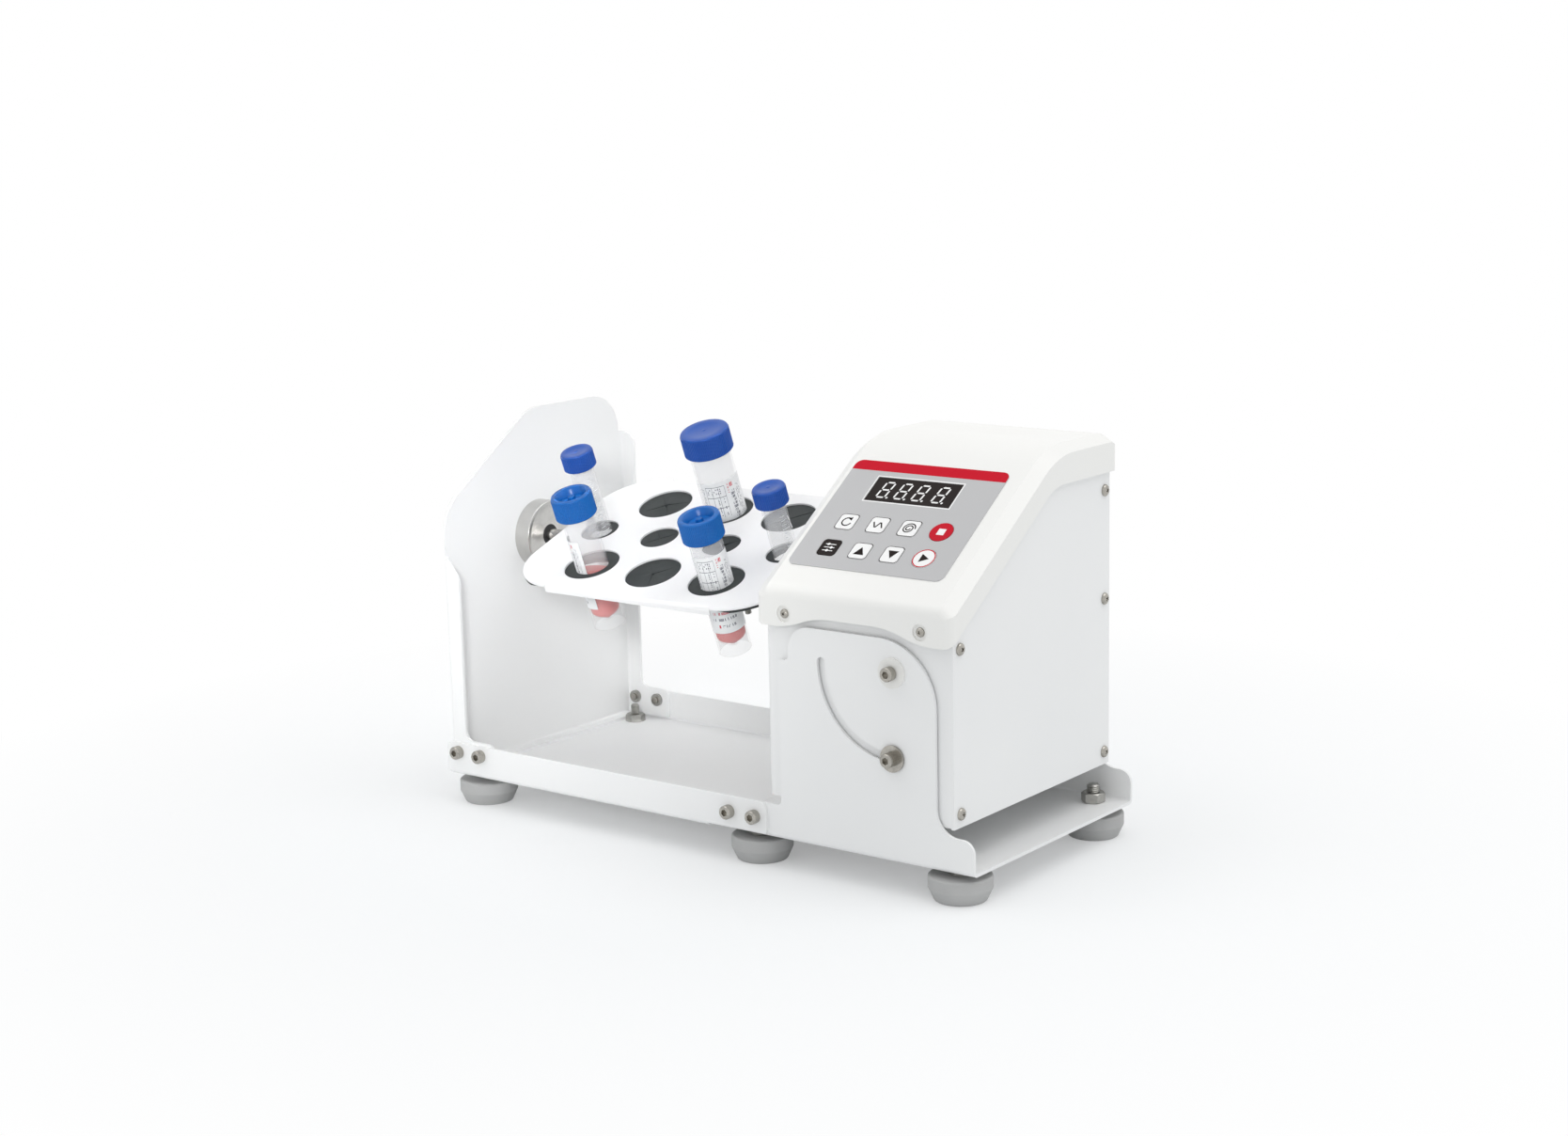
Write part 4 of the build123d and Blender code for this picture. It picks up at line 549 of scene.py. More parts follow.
# %% Cross-recess screws
def cross_recess_screw(shank, length, head):
    """Domed screw along Z, its head's underside on Z = 0."""
    rise = 1.15 * shank
    dome = lathe([(0, rise), (0.35 * head, rise * 0.97), (0.68 * head, rise * 0.84),
                  (0.9 * head, rise * 0.6), (head, rise * 0.28), (head, 0), (shank, 0),
                  (shank, -length), (0, -length)], 40)
    arm, thick, deep, taper = 1.12 * head, 0.3 * head, 0.62 * rise, 0.45
    arms = []
    for angle in (0, math.pi / 2):
        box = bar(arm, thick, 2 * deep, at(0, 0, rise) @ Matrix.Rotation(angle, 4, "Z"))
        low = [v for v in box.verts if v.co.z < rise * MM]
        bmesh.ops.transform(box, matrix=Matrix.Diagonal((taper, taper, 1, 1)), verts=low)
        arms.append(box)
    cross = reopen(combine(*arms, "UNION"))
    return combine(dome, cross, "DIFFERENCE")


def screw_set(name, screw, direction_places, body, material, replaced):
    """One piece of equal screws, each turned at random."""
    places = [aimed(way, *place, roll=random.uniform(0, math.tau)) for way, place in direction_places]
    piece = add_piece(name, repeat(screw, places), body, material, (replaced,))
    print(name, len(places), "screws,", len(piece.data.polygons), "faces")


def both_faces(x, out, z, rear_z=None):
    """A place on the front face and one on the back."""
    return [(TO_FRONT, (x, -out, z)), (TO_BACK, (x, out, z if rear_z is None else rear_z))]


def round_axis(x, step):
    """Four places facing left, on a square round the rotor's axis."""
    return [(TO_LEFT, (x, side * step, AXIS_HEIGHT + rise * step))
            for side in (-1, 1) for rise in (-1, 1)]


PANEL_FACE_X = 190.9
PANEL_SCREW_YZ = ((-80.0, 52.3), (-80.0, 148.7), (81.0, 52.3), (81.0, 149.0), (81.0, 216.2))
screw_set("panel_screw_heads", cross_recess_screw(2.0, 6.0, 3.7),
          [(TO_RIGHT, (PANEL_FACE_X, y, z)) for y, z in PANEL_SCREW_YZ], "head", nickel, "panel_screws")

COVER_MIDDLE, COVER_SCREW_OUT, DIMPLE_Y, FRONT_DIMPLE_Z, REAR_DIMPLE_Z = 124.4, 48.0, 91.7, 158.5, 236.5
cover_screw_places = []
for x in (COVER_MIDDLE - COVER_SCREW_OUT, COVER_MIDDLE + COVER_SCREW_OUT):
    cover_screw_places += both_faces(x, DIMPLE_Y, FRONT_DIMPLE_Z, REAR_DIMPLE_Z)
screw_set("cover_screw_heads", cross_recess_screw(1.5, 8.2, 2.8), cover_screw_places, "head", nickel,
          "cover_screws")

HUB_FACE_X, HUB_SCREW_STEP = -204.0, 17.0 / 2**0.5
screw_set("hub_screw_heads", cross_recess_screw(1.7, 8.0, 3.8), round_axis(HUB_FACE_X, HUB_SCREW_STEP),
          "base", zinc, "hub_screws")

MOTOR_FACE_X, MOTOR_BOLT_STEP = 57.9, 23.6
screw_set("motor_screw_heads", cross_recess_screw(2.5, 21.5, 4.4),
          round_axis(MOTOR_FACE_X, MOTOR_BOLT_STEP), "head", zinc, "motor_screws")

# %% [markdown]
# ## Socket-head screws
# The tray's overlaps, the pivots and the clamps use cylinder screws with a hexagon socket. A real one
# has a knurled side for the fingers and a small chamfer round its top. The knurl is a prism of many
# sides with every second edge pulled in; the socket is a six-sided cutter.


# %% Socket-head screws
def knurled(radius, low, high, ridges, depth):
    """Cylinder with fine grooves down its side."""
    bm = prism(2 * ridges, radius, low, high)
    groove = [v for v in bm.verts if round(math.atan2(v.co.y, v.co.x) / math.tau * 2 * ridges) % 2]
    pull = Matrix.Diagonal((1 - depth / radius, 1 - depth / radius, 1, 1))
    bmesh.ops.transform(bm, matrix=pull, verts=groove)
    return bm


def socket_screw(shank, length, head, socket):
    """Cylinder screw along Z, its head's underside on Z = 0; socket is the hexagon's corner radius."""
    tall = 2 * shank
    rim = 0.12 * head
    side = knurled(head, 0.12 * tall, 0.86 * tall, 30, 0.13)
    core = lathe([(0, tall), (head - rim, tall), (head - 0.1, tall - rim), (head - 0.1, 0), (shank, 0),
                  (shank, -length), (0, -length)], 60)
    head_mesh = combine(core, side, "UNION")
    return combine(reopen(head_mesh), prism(6, socket, 0.42 * tall, 1.2 * tall), "DIFFERENCE")


TRAY_SIDE_Y = 92.0
tray_places = []
for x, z in ((31.0, 31.0), (50.6, 31.0), (-195.6, 34.5), (-176.0, 34.5)):
    tray_places += both_faces(x, TRAY_SIDE_Y, z)
screw_set("tray_screw_heads", socket_screw(2.5, 7.5, 4.3, 2.3), tray_places, "base", nickel,
          "tray_screws")

PIVOT_X = 151.2
pivot_screw = socket_screw(2.5, 9.8, 4.3, 2.3)
for kind, out, z in (("pivot", 91.9, 132.0), ("clamp", 93.0, 81.5)):
    screw_set(f"{kind}_screw_heads", pivot_screw, both_faces(PIVOT_X, out, z), "head", nickel,
              f"{kind}_screws")

# %% [markdown]
# ## Nuts and threaded studs
# A hexagon nut is a prism whose corners are turned off to a cone, top and bottom, so it is a six-sided
# prism met with a lathe shape. A thread at this size reads as close rings, so a stud is one lathe
# profile that steps in and out once per turn.


# %% Nuts and studs
def hex_nut(bore, flats, height):
    """Nut along Z from 0 to height, flats measured across."""
    corner = flats / 3**0.5
    cone = 0.58 * (corner - flats / 2)
    barrel = lathe([(bore, 0), (flats / 2 - 0.2, 0), (corner + 0.1, cone * 1.6),
                    (corner + 0.1, height - cone * 1.6), (flats / 2 - 0.2, height), (bore, height)],
                   48, closed=True)
    return combine(prism(6, corner, 0, height), barrel, "INTERSECT")


def threaded_stud(radius, low, high, pitch):
    """Stud along Z with rings for its thread and a chamfered top."""
    root = radius - 0.55 * pitch
    turns = int((high - low) / pitch)
    points = [(0, low), (root, low)]
    for turn in range(turns):
        start = low + turn * pitch
        points += [(root, start + 0.1 * pitch), (radius, start + 0.5 * pitch),
                   (radius, start + 0.6 * pitch)]
    points += [(root, low + turns * pitch), (root - 0.2, high), (0, high)]
    return as_mesh(lathe(points, 28))


FOOT_Y, FOOT_TOP, SHEET_TOP = 75.0, 15.0, 21.0
THREAD_LOW, THREAD_HIGH, SLACK = 14.0, 32.5, 0.02
wide_nut, low_nut = hex_nut(4.0, 13.0, 6.4), hex_nut(4.0, 13.0, 4.0)
small_nut, small_low_nut = hex_nut(3.0, 12.0, 4.8), hex_nut(3.0, 10.0, 4.0)
flange = lathe([(3.0, 0), (7.1, 0), (7.1, 0.6), (6.2, 1.4), (3.0, 1.4)], 40, closed=True)
small_nut = combine(reopen(small_nut), flange, "UNION")
nut_shapes, stud_shapes = [], []
for x, nut, jam, stud in ((187.0, wide_nut, low_nut, 4.0), (43.0, wide_nut, low_nut, 4.0),
                          (-186.0, small_nut, small_low_nut, 3.0)):
    thread = threaded_stud(stud - SLACK, THREAD_LOW, THREAD_HIGH, 0.3 * stud)
    for y in (-FOOT_Y, FOOT_Y):
        turn = Matrix.Rotation(random.uniform(0, math.tau), 4, "Z")
        nut_shapes.append(repeat(nut, [at(x, y) @ at(0, 0, SHEET_TOP) @ turn]))
        nut_shapes.append(repeat(jam, [at(x, y) @ at(0, 0, FOOT_TOP) @ turn]))
        stud_shapes.append(repeat(thread, [at(x, y)]))
add_piece("foot_nut_set", join(*nut_shapes), "base", zinc, ("foot_nuts",))
add_piece("foot_stud_set", join(*stud_shapes), "base", zinc, ("foot_bolts",))

# %% Studs under the turning plate
PLATE = at(-67.0, 0, AXIS_HEIGHT) @ Matrix.Rotation(math.radians(20.5), 4, "X")
PLATE_TOP, BACK_UNDER, STUD_ABOVE, NUT_TALL = 8.4, 4.6, 2.4, 3.2
plate_places = [PLATE @ at(x, y) for x in (-81.0, 81.0) for y in (-51.5, 51.5)]
stud_turn = at(0, 0, BACK_UNDER + STUD_ABOVE) @ Matrix.Rotation(math.pi, 4, "X")
plate_studs = repeat(threaded_stud(2.0, 0, 12, 0.7), [place @ stud_turn for place in plate_places])
nut_seat = at(0, 0, BACK_UNDER - NUT_TALL)
plate_nuts = repeat(hex_nut(2.0, 7.0, NUT_TALL),
                    [place @ nut_seat @ Matrix.Rotation(random.uniform(0, 1), 4, "Z")
                     for place in plate_places])
add_piece("plate_stud_set", join(plate_studs, plate_nuts), "rotor", zinc, ("rotor_studs",))
print("nuts and studs made")

# %% [markdown]
# ## Rubber flaps
# Under each hole of the plate lies soft rubber with crossed slits. Where no tube stands, the four flaps
# lie nearly flat, curl a little, and their slits bend. Where a tube was pushed through, the flaps fold
# down against it. A flap is one radial edge spun through a quarter turn, then bent by moving its
# points, then given a thickness.

# %% Flap shapes
RUBBER_TOP, FLAP_THICK = 7.2, 0.9
HOLE_PITCH, ROW_OFFSET = 51.5, 40.4
LARGE_HOLE, SMALL_HOLE = 18.5, 13.0


def hole_place(column, row, height=0.0):
    """Place on a hole's middle line, height above the rotor's axis."""
    return PLATE @ at(column * HOLE_PITCH, row * ROW_OFFSET, height)


def flap(inner, outer, bend, curl, start, gap=0.35):
    """Quarter flap: bend curves its slit edges, curl lowers or lifts its tip."""
    parts, sweep = 6, math.pi / 2
    radii = [inner + (outer - inner) * i / parts for i in range(parts + 1)]
    bm = spun([(radius, 0) for radius in radii], start, sweep, 12)
    for v in bm.verts:
        radius = v.co.xy.length / MM
        angle = math.atan2(v.co.y, v.co.x)
        into = min(max((outer - radius) / (outer - inner), 0.0), 1.0)
        across = ((angle - start) % math.tau) / sweep if radius > 1e-4 else 0.5
        across = min(max(across, 0.0), 1.0) if across < 2 else 0.0
        ease = gap / max(radius, gap) * (0.5 - across) * 2
        twist = bend * math.sin(math.pi * (1 - into)) + ease
        lift = curl * into**1.6 * (0.75 + 0.25 * math.cos(math.pi * (across - 0.5)))
        v.co = Vector((radius * math.cos(angle + twist), radius * math.sin(angle + twist), lift)) * MM
    bmesh.ops.remove_doubles(bm, verts=bm.verts, dist=1e-7)
    bmesh.ops.recalc_face_normals(bm, faces=bm.faces)
    if sum(f.normal.z for f in bm.faces) < 0:
        bmesh.ops.reverse_faces(bm, faces=bm.faces)
    bmesh.ops.solidify(bm, geom=bm.faces[:], thickness=FLAP_THICK * MM)
    return bm


# %% Flaps in every hole
TUBES = {  # name: column, row and tube radius
    "tube_1": (-1.5, 0, 8.1),
    "tube_2": (-1, -1, 10.7),
    "tube_3": (0, 1, 13.6),
    "tube_4": (1, -1, 10.7),
    "tube_5": (1.5, 0, 8.1),
}
tube_in = {(column, row): radius for column, row, radius in TUBES.values()}
all_holes = [(column, row) for row in (-1, 1) for column in (-1, 0, 1)]
all_holes += [(column, 0) for column in (-1.5, -0.5, 0.5, 1.5)]
flap_shapes = []
for column, row in all_holes:
    hole = SMALL_HOLE if row == 0 else LARGE_HOLE
    tube = tube_in.get((column, row))
    inner = tube + 0.15 if tube else 0.25
    tilt = random.uniform(0.3, math.pi / 2 - 0.3)
    for quarter in range(4):
        bend = random.uniform(0.05, 0.16)
        curl = random.uniform(-3.6, -2.6) if tube else random.uniform(-1.5, 0.9)
        mesh = as_mesh(flap(inner, hole - 0.15, bend, curl, tilt + quarter * math.pi / 2))
        flap_shapes.append(repeat(mesh, [hole_place(column, row, RUBBER_TOP + 0.05)]))
flaps = add_piece("rubber_flaps", join(*flap_shapes), "rotor", grip_black)
print(len(flap_shapes), "flaps,", len(flaps.data.polygons), "faces")

# %% [markdown]
# ## Clear plastic, blue plastic and red liquid
# The tubes are clear polypropylene, slightly cloudy. Real refraction would give such thin walls hard
# dark edges, so each wall is a milky film that lets most light straight through, and four walls in a
# row look cloudy. The liquid is a separate solid inside, made the same way with a strong red. The caps
# are glossy blue plastic of two tones: a bright one on the skirted tubes and a royal one on the others.


# %% Tube materials
def see_through(name, tone, cover, gloss, ior):
    """Cloudy film or liquid: cover is the part of the light that one surface stops."""
    material = finish(name, tone, tuple(0.97 * v for v in tone), 60.0, gloss, 120.0, ior=ior)
    material.node_tree.nodes["Principled BSDF"].inputs["Alpha"].default_value = cover
    return material


clear_plastic = see_through("clear_plastic", (0.93, 0.935, 0.945), 0.17, (0.10, 0.18), 1.45)
red_liquid = see_through("red_liquid", (0.80, 0.050, 0.038), 0.92, (0.08, 0.12), 1.33)
cap_royal = finish("cap_royal", (0.010, 0.074, 0.37), (0.013, 0.084, 0.40), 70.0, (0.26, 0.32), 40.0,
                   grain=(1500.0, 0.03, 0.0001), ior=1.38)
cap_bright = finish("cap_bright", (0.002, 0.105, 0.40), (0.003, 0.12, 0.43), 70.0, (0.24, 0.30), 40.0,
                    grain=(1500.0, 0.03, 0.0001), ior=1.38)
dress(clear_plastic, *TUBES)
print(len(TUBES), "tubes dressed")

# %% [markdown]
# ## Ribbed caps
# A screw cap has fine grip ribs round its side, a plain band below and a rounded top edge. The flat
# caps have a small gate mark in the middle. The skirted tubes' caps are deeply hollowed, with a nub in
# the middle of the hollow. Body and ribs are one lathe profile and one knurled prism, joined.


# %% Ribbed caps
RIBS_PER_MM, THREAD_WALL = 5.2, 1.55


def cap_shape(radius, tall, neck, hollow):
    """Cap from height 0 to tall; neck is the radius of its threaded bore."""
    core = radius - 0.35
    outside = [(core, 0.3), (core, tall - 0.9), (core - 0.12, tall - 0.45), (core - 0.42, tall - 0.12),
               (core - 0.9, tall)]
    if hollow:
        top = [(0.76 * radius, tall), (0.71 * radius, tall - 0.6), (0.585 * radius, tall - 4.6),
               (2.8, tall - 4.9), (2.2, tall - 2.0), (1.5, tall - 1.6), (0.9, tall - 2.1),
               (0, tall - 2.2)]
        roof = [(0, tall - 6.2), (neck - 2.9, tall - 6.2), (neck - 2.85, tall - 1.7)]
    else:
        top = [(0.62 * radius, tall), (0.6 * radius, tall - 0.12), (1.3, tall - 0.12), (1.1, tall + 0.05),
               (0.5, tall + 0.12), (0, tall + 0.12)]
        roof = [(0, tall - 1.7)]
    inside = roof + [(neck, tall - 1.7), (neck, 0.0), (core - 0.3, 0.0)]
    blank = lathe(outside + top + inside, 96)
    # A flat disc closes the outer surface, and another the inner one, at the mouth inside the tube.
    bmesh.ops.holes_fill(blank, edges=blank.edges)
    grip = knurled(radius, 0.5, tall - 1.3, int(radius * RIBS_PER_MM), 0.42)
    hole = prism(96, core - 0.4, 0.2, tall)
    return combine(blank, reopen(combine(grip, hole, "DIFFERENCE")), "UNION")


# %% Five caps
CAPS = (  # tube, radius, height, its top above the plate, deeply hollowed
    ("tube_1", 10.9, 11.8, 59.4, False),
    ("tube_2", 13.6, 15.5, 52.1, True),
    ("tube_3", 16.3, 15.2, 59.6, False),
    ("tube_4", 13.6, 15.5, 46.5, True),
    ("tube_5", 10.9, 11.8, 47.0, False),
)
for name, radius, tall, top, hollow in CAPS:
    column, row, _ = TUBES[name]
    cap = cap_shape(radius, tall, radius - THREAD_WALL, hollow)
    base = hole_place(column, row, PLATE_TOP + top - tall)
    number = name[-1]
    tone, slot = (cap_bright, "cap_bright") if hollow else (cap_royal, "cap_blue")
    add_piece(f"cap_{number}_ribbed", repeat(cap, [base]), f"cap_{number}", tone,
              (f"tube_cap_{number}",), 40.0)
    print(name, "cap", len(cap.polygons), "faces")

# %% [markdown]
# ## Liquid in the skirted tubes
# The liquid fills the tube's cone and part of its straight length. It is a lathe shape just inside the
# wall. The tube leans with the plate, but the liquid's surface stays level, so the shape is made too
# tall, put in place, and then cut by a level plane.


# %% Liquid
WALL, SKIRT, FLOOR_THICK = 1.22, 3.5, 1.25


def liquid(column, row, body_radius, tip, fill_height):
    """Liquid from the tube's tip to a level surface through a point on its middle line."""
    inner = body_radius - WALL
    point = tip + SKIRT + FLOOR_THICK
    corner = point + 0.55 * body_radius - 0.6
    shape = lathe([(0, point), (2.0, point), (inner - 1.65, corner - 1.2), (inner - 0.44, corner + 0.25),
                   (inner - 0.1, corner + 1.1), (inner, corner + 2.1), (inner, 30.0), (0, 30.0)], 48)
    place = hole_place(column, row, PLATE_TOP)
    bmesh.ops.transform(shape, matrix=place, verts=shape.verts)
    level = place @ Vector((0, 0, fill_height * MM))
    geometry = shape.verts[:] + shape.edges[:] + shape.faces[:]
    bmesh.ops.bisect_plane(shape, geom=geometry, plane_co=level, plane_no=(0, 0, 1), clear_outer=True)
    rim = [edge for edge in shape.edges if edge.is_boundary]
    bmesh.ops.edgeloop_fill(shape, edges=rim)
    bmesh.ops.recalc_face_normals(shape, faces=shape.faces)
    return shape


for name, tip, fill_height in (("tube_2", -44.2, -3.0), ("tube_4", -49.8, -9.0)):
    piece = add_piece(f"{name}_liquid", liquid(*TUBES[name], tip, fill_height), name, red_liquid,
                      smooth_below=30.0)
    print(piece.name, len(piece.data.polygons), "faces")

# %% [markdown]
# ## Labels and scale marks
# Three tubes carry a paper label: a white strip wrapped part of the way round, with a printed frame,
# ruled lines, rows of small print and a red mark. No real words are printed: the small print is rows of
# dashes that noise breaks up. The strip has its own UV map, u round the tube and v along it, so that
# the print follows the paper. The thin tubes carry moulded scale marks instead.

# %% Masks for small print
GAP_SHARE = 0.38


def print_mask(tree, uv, u_range, v_range, pitch_u, pitch_v, fill_u, fill_v, broken):
    """Mask of small marks on a UV grid inside a window; broken adds gaps from noise."""
    link = tree.links.new

    def maths(operation, first, second=None):
        node = chain(tree, "ShaderNodeMath", operation=operation)
        for socket, value in zip(node.inputs, (first, second)):
            if isinstance(value, (int, float)):
                socket.default_value = value
            elif value is not None:
                link(value, socket)
        return node.outputs["Value"]

    inside = None
    for axis, (low, high) in (("X", u_range), ("Y", v_range)):
        near = maths("GREATER_THAN", uv[axis], low)
        far = maths("LESS_THAN", uv[axis], high)
        both = maths("MULTIPLY", near, far)
        inside = both if inside is None else maths("MULTIPLY", inside, both)
    for axis, pitch, fill in (("X", pitch_u, fill_u), ("Y", pitch_v, fill_v)):
        if pitch:
            step = maths("FRACT", maths("DIVIDE", uv[axis], pitch))
            inside = maths("MULTIPLY", inside, maths("LESS_THAN", step, fill))
    if broken:
        noise = chain(tree, "ShaderNodeTexWhiteNoise", noise_dimensions="2D")
        cell = chain(tree, "ShaderNodeCombineXYZ")
        link(maths("FLOOR", maths("DIVIDE", uv["X"], broken)), cell.inputs["X"])
        link(maths("FLOOR", maths("DIVIDE", uv["Y"], pitch_v or 0.1)), cell.inputs["Y"])
        link(cell.outputs["Vector"], noise.inputs["Vector"])
        inside = maths("MULTIPLY", inside, maths("GREATER_THAN", noise.outputs["Value"], GAP_SHARE))
    return inside


# %% Label print
def label_paper():
    """White paper with its prints laid over it, one mask each."""
    material = finish("label_paper", (0.86, 0.87, 0.88), None, 80.0, (0.4, 0.55), 90.0)
    tree = material.node_tree
    shader = tree.nodes["Principled BSDF"]
    link = tree.links.new
    wrap = chain(tree, "ShaderNodeUVMap", uv_map="wrap")
    split = chain(tree, "ShaderNodeSeparateXYZ")
    link(wrap.outputs["UV"], split.inputs["Vector"])
    uv = {"X": split.outputs["X"], "Y": split.outputs["Y"]}
    ink = (0.05, 0.055, 0.09)
    red = (0.60, 0.03, 0.05)
    rows = tuple(
        (tone, (left, right), (low, low + 0.035), 0.022, None, 0.66, None, 0.022)
        for tone, left, right, low in ((ink, 0.16, 0.62, 0.315), (red, 0.18, 0.66, 0.245),
                                       (ink, 0.14, 0.70, 0.165), (ink, 0.34, 0.64, 0.075)))
    # ink, ranges round and along the tube, pitches, inked shares of a pitch, width of a broken dash
    prints = rows + (
        (red, (0.25, 0.29), (0.075, 0.115), None, None, None, None, None),
        (ink, (0.03, 0.09), (0.50, 0.93), 0.030, 0.014, 0.45, 0.62, 0.030),
        (ink, (0.12, 0.505), (0.56, 0.945), 0.125, None, 0.045, None, None),
        (ink, (0.12, 0.505), (0.66, 0.950), None, 0.135, None, 0.045, None),
        (ink, (0.14, 0.48), (0.845, 0.925), 0.040, 0.026, 0.42, 0.60, 0.040),
        (ink, (0.28, 0.48), (0.56, 0.79), 0.110, 0.020, 0.16, 0.60, 0.110),
        (red, (0.56, 0.585), (0.84, 0.955), None, 0.014, None, 0.60, 0.050),
        (red, (0.61, 0.68), (0.905, 0.955), 0.035, None, 0.70, None, None),
        (ink, (0.61, 0.70), (0.50, 0.86), 0.030, 0.042, 0.72, 0.78, 0.015),
        (ink, (0.74, 0.86), (0.50, 0.90), 0.034, 0.016, 0.40, 0.62, 0.034),
    )
    colour = shader.inputs["Base Color"].links[0].from_socket
    for tone, u_range, v_range, pitch_u, pitch_v, fill_u, fill_v, broken in prints:
        mask = print_mask(tree, uv, u_range, v_range, pitch_u, pitch_v, fill_u or 1, fill_v or 1, broken)
        mix = chain(tree, "ShaderNodeMix", data_type="RGBA")
        link(mask, mix.inputs["Factor"])
        link(colour, mix.inputs[MIX_FIRST])
        mix.inputs[MIX_SECOND].default_value = (*tone, 1)
        colour = mix.outputs[MIX_RESULT]
    link(colour, shader.inputs["Base Color"])
    return material


# %% Strips round a tube
def wrapped_strip(radius, low, high, middle, spread, steps=40):
    """Strip round Z from middle - spread to middle + spread, with u round it and v along it."""
    rows = 12
    line = [(radius, low + (high - low) * i / rows) for i in range(rows + 1)]
    bm = spun(line, middle - spread, 2 * spread, steps)
    bmesh.ops.recalc_face_normals(bm, faces=bm.faces)
    if sum(f.normal.dot(Vector((*f.calc_center_median().xy, 0))) for f in bm.faces) < 0:
        bmesh.ops.reverse_faces(bm, faces=bm.faces)
    wrap = bm.loops.layers.uv.new("wrap")
    for face in bm.faces:
        for corner in face.loops:
            x, y, z = corner.vert.co / MM
            angle = (math.atan2(y, x) - (middle - spread) + 0.001) % math.tau
            corner[wrap].uv = (angle / (2 * spread), (z - low) / (high - low))
    return bm


def add_to_tube(kind, name, bm, material):
    """Put a shape drawn round Z onto a tube; heights are above the plate."""
    column, row, _ = TUBES[name]
    place = hole_place(column, row, PLATE_TOP)
    add_piece(f"{name}_{kind}", repeat(as_mesh(bm), [place]), name, material)


paper = label_paper()
PAPER_THICK = 0.05
TOWARDS_FRONT = math.radians(37.4 - 90.0)
for name, low, high, shift, spread in (
    ("tube_2", -28.0, 22.0, -1.15, 0.85),
    ("tube_3", -30.0, 27.0, 0.30, 1.25),
    ("tube_4", -32.5, 22.0, 0.20, 1.35),
):
    strip = wrapped_strip(TUBES[name][2] + 0.08, low, high, TOWARDS_FRONT + shift, spread)
    bmesh.ops.solidify(strip, geom=strip.faces[:], thickness=-PAPER_THICK * MM)
    add_to_tube("label", name, strip, paper)
print("labels wrapped")


# %% Scale marks
mark_white = finish("mark_white", (0.80, 0.82, 0.84), None, 80.0, (0.4, 0.5), 90.0)
MARKS, MARK_HIGH = 24, 0.35
for name, low, high in (("tube_1", -28.0, 40.0), ("tube_5", -40.0, 28.0)):
    marks = []
    for index in range(MARKS):
        height = low + (high - low) * index / (MARKS - 1)
        spread = 0.18 if index % 5 else 0.34
        mark = wrapped_strip(TUBES[name][2] + 0.05, height, height + MARK_HIGH,
                             TOWARDS_FRONT + 0.35 + spread, spread, 8)
        bmesh.ops.solidify(mark, geom=mark.faces[:], thickness=-PAPER_THICK * MM)
        marks.append(mark)
    add_to_tube("scale", name, join(*marks), mark_white)
print("scale marks made")

# %% [markdown]
# ## Control panel
# The panel is a printed film on the cover's slope: grey, with a red band across its top, a dark window
# with a white line round it, and openings for the keys. Its symbols are flat inks a few hundredths of a
# millimetre thick. All of it is drawn on the slope's own plane: x to the right, y up the slope.

# %% Panel plane and printed shapes
PANEL = at(0, -81.8, 180.1) @ Matrix.Rotation(math.radians(34.5), 4, "X")
FILM_TOP, KEY_TOP, WINDOW_TOP = 0.5, 0.7, 0.2
INK = 0.04


def flat_bar(width, depth):
    """Bar of ink that stands on Z = 0."""
    return bar(width, depth, INK, at(0, 0, INK / 2))


def cut_corners(bm, edges, offset, segments):
    """Round or chamfer edges."""
    bmesh.ops.bevel(bm, geom=edges, offset=offset * MM, segments=segments, affect="EDGES", profile=0.5,
                    material=-1)
    return bm


def upright_edges(bm, height):
    """The edges of a plate that run through its thickness."""
    return [e for e in bm.edges if abs((e.verts[0].co - e.verts[1].co).z) > height * MM * 0.9]


def rounded_plate(width, height, corner, thick, only_top=False):
    """Flat plate on Z = 0, its upright corner edges rounded."""
    bm = bar(width, height, thick, at(0, 0, thick / 2))
    upright = upright_edges(bm, thick)
    if only_top:
        upright = [e for e in upright if e.verts[0].co.y > 0]
    return cut_corners(bm, upright, corner, 8)


def frame_plate(outer, inner):
    """Ring between two plates."""
    return reopen(combine(outer, inner, "DIFFERENCE"))


def lifted(bm, x, y, z, turn=0.0):
    """Move a flat shape to a place on its plane."""
    bmesh.ops.transform(bm, matrix=at(x, y, z) @ Matrix.Rotation(turn, 4, "Z"), verts=bm.verts)
    return bm


def add_print(name, bm, material, body="head"):
    """Move a shape from the panel's own plane into place, as a piece."""
    bmesh.ops.transform(bm, matrix=PANEL, verts=bm.verts)
    return add_piece(name, bm, body, material)


# %% Inks and key plastics
ink_red = finish("ink_red", (0.58, 0.006, 0.022), (0.55, 0.007, 0.024), 40.0, (0.5, 0.6), 60.0, ior=1.18)
ink_black = finish("ink_black", (0.016, 0.011, 0.010), None, 60.0, (0.5, 0.6), 60.0, ior=1.18)
ink_white = finish("ink_white", (0.92, 0.92, 0.92), None, 60.0, (0.5, 0.6), 60.0, ior=1.18)
film_grey = finish("film_grey", (0.520, 0.520, 0.528), (0.508, 0.508, 0.516), 16.0, (0.42, 0.52), 40.0,
                   grain=(3000.0, 0.05, 0.0001), ior=1.3)
key_white = finish("key_white", (0.90, 0.90, 0.90), (0.885, 0.885, 0.885), 60.0, (0.42, 0.52), 80.0)
key_black = finish("key_black", (0.016, 0.011, 0.010), (0.02, 0.015, 0.014), 60.0, (0.45, 0.55), 80.0,
                   ior=1.2)
key_red = finish("key_red", (0.58, 0.006, 0.022), (0.54, 0.008, 0.024), 60.0, (0.45, 0.55), 80.0, ior=1.2)
window_black = finish("window_black", (0.014, 0.009, 0.008), (0.018, 0.013, 0.012), 30.0, (0.3, 0.4),
                      40.0, ior=1.2)
dress(film_grey, "control_overlay")
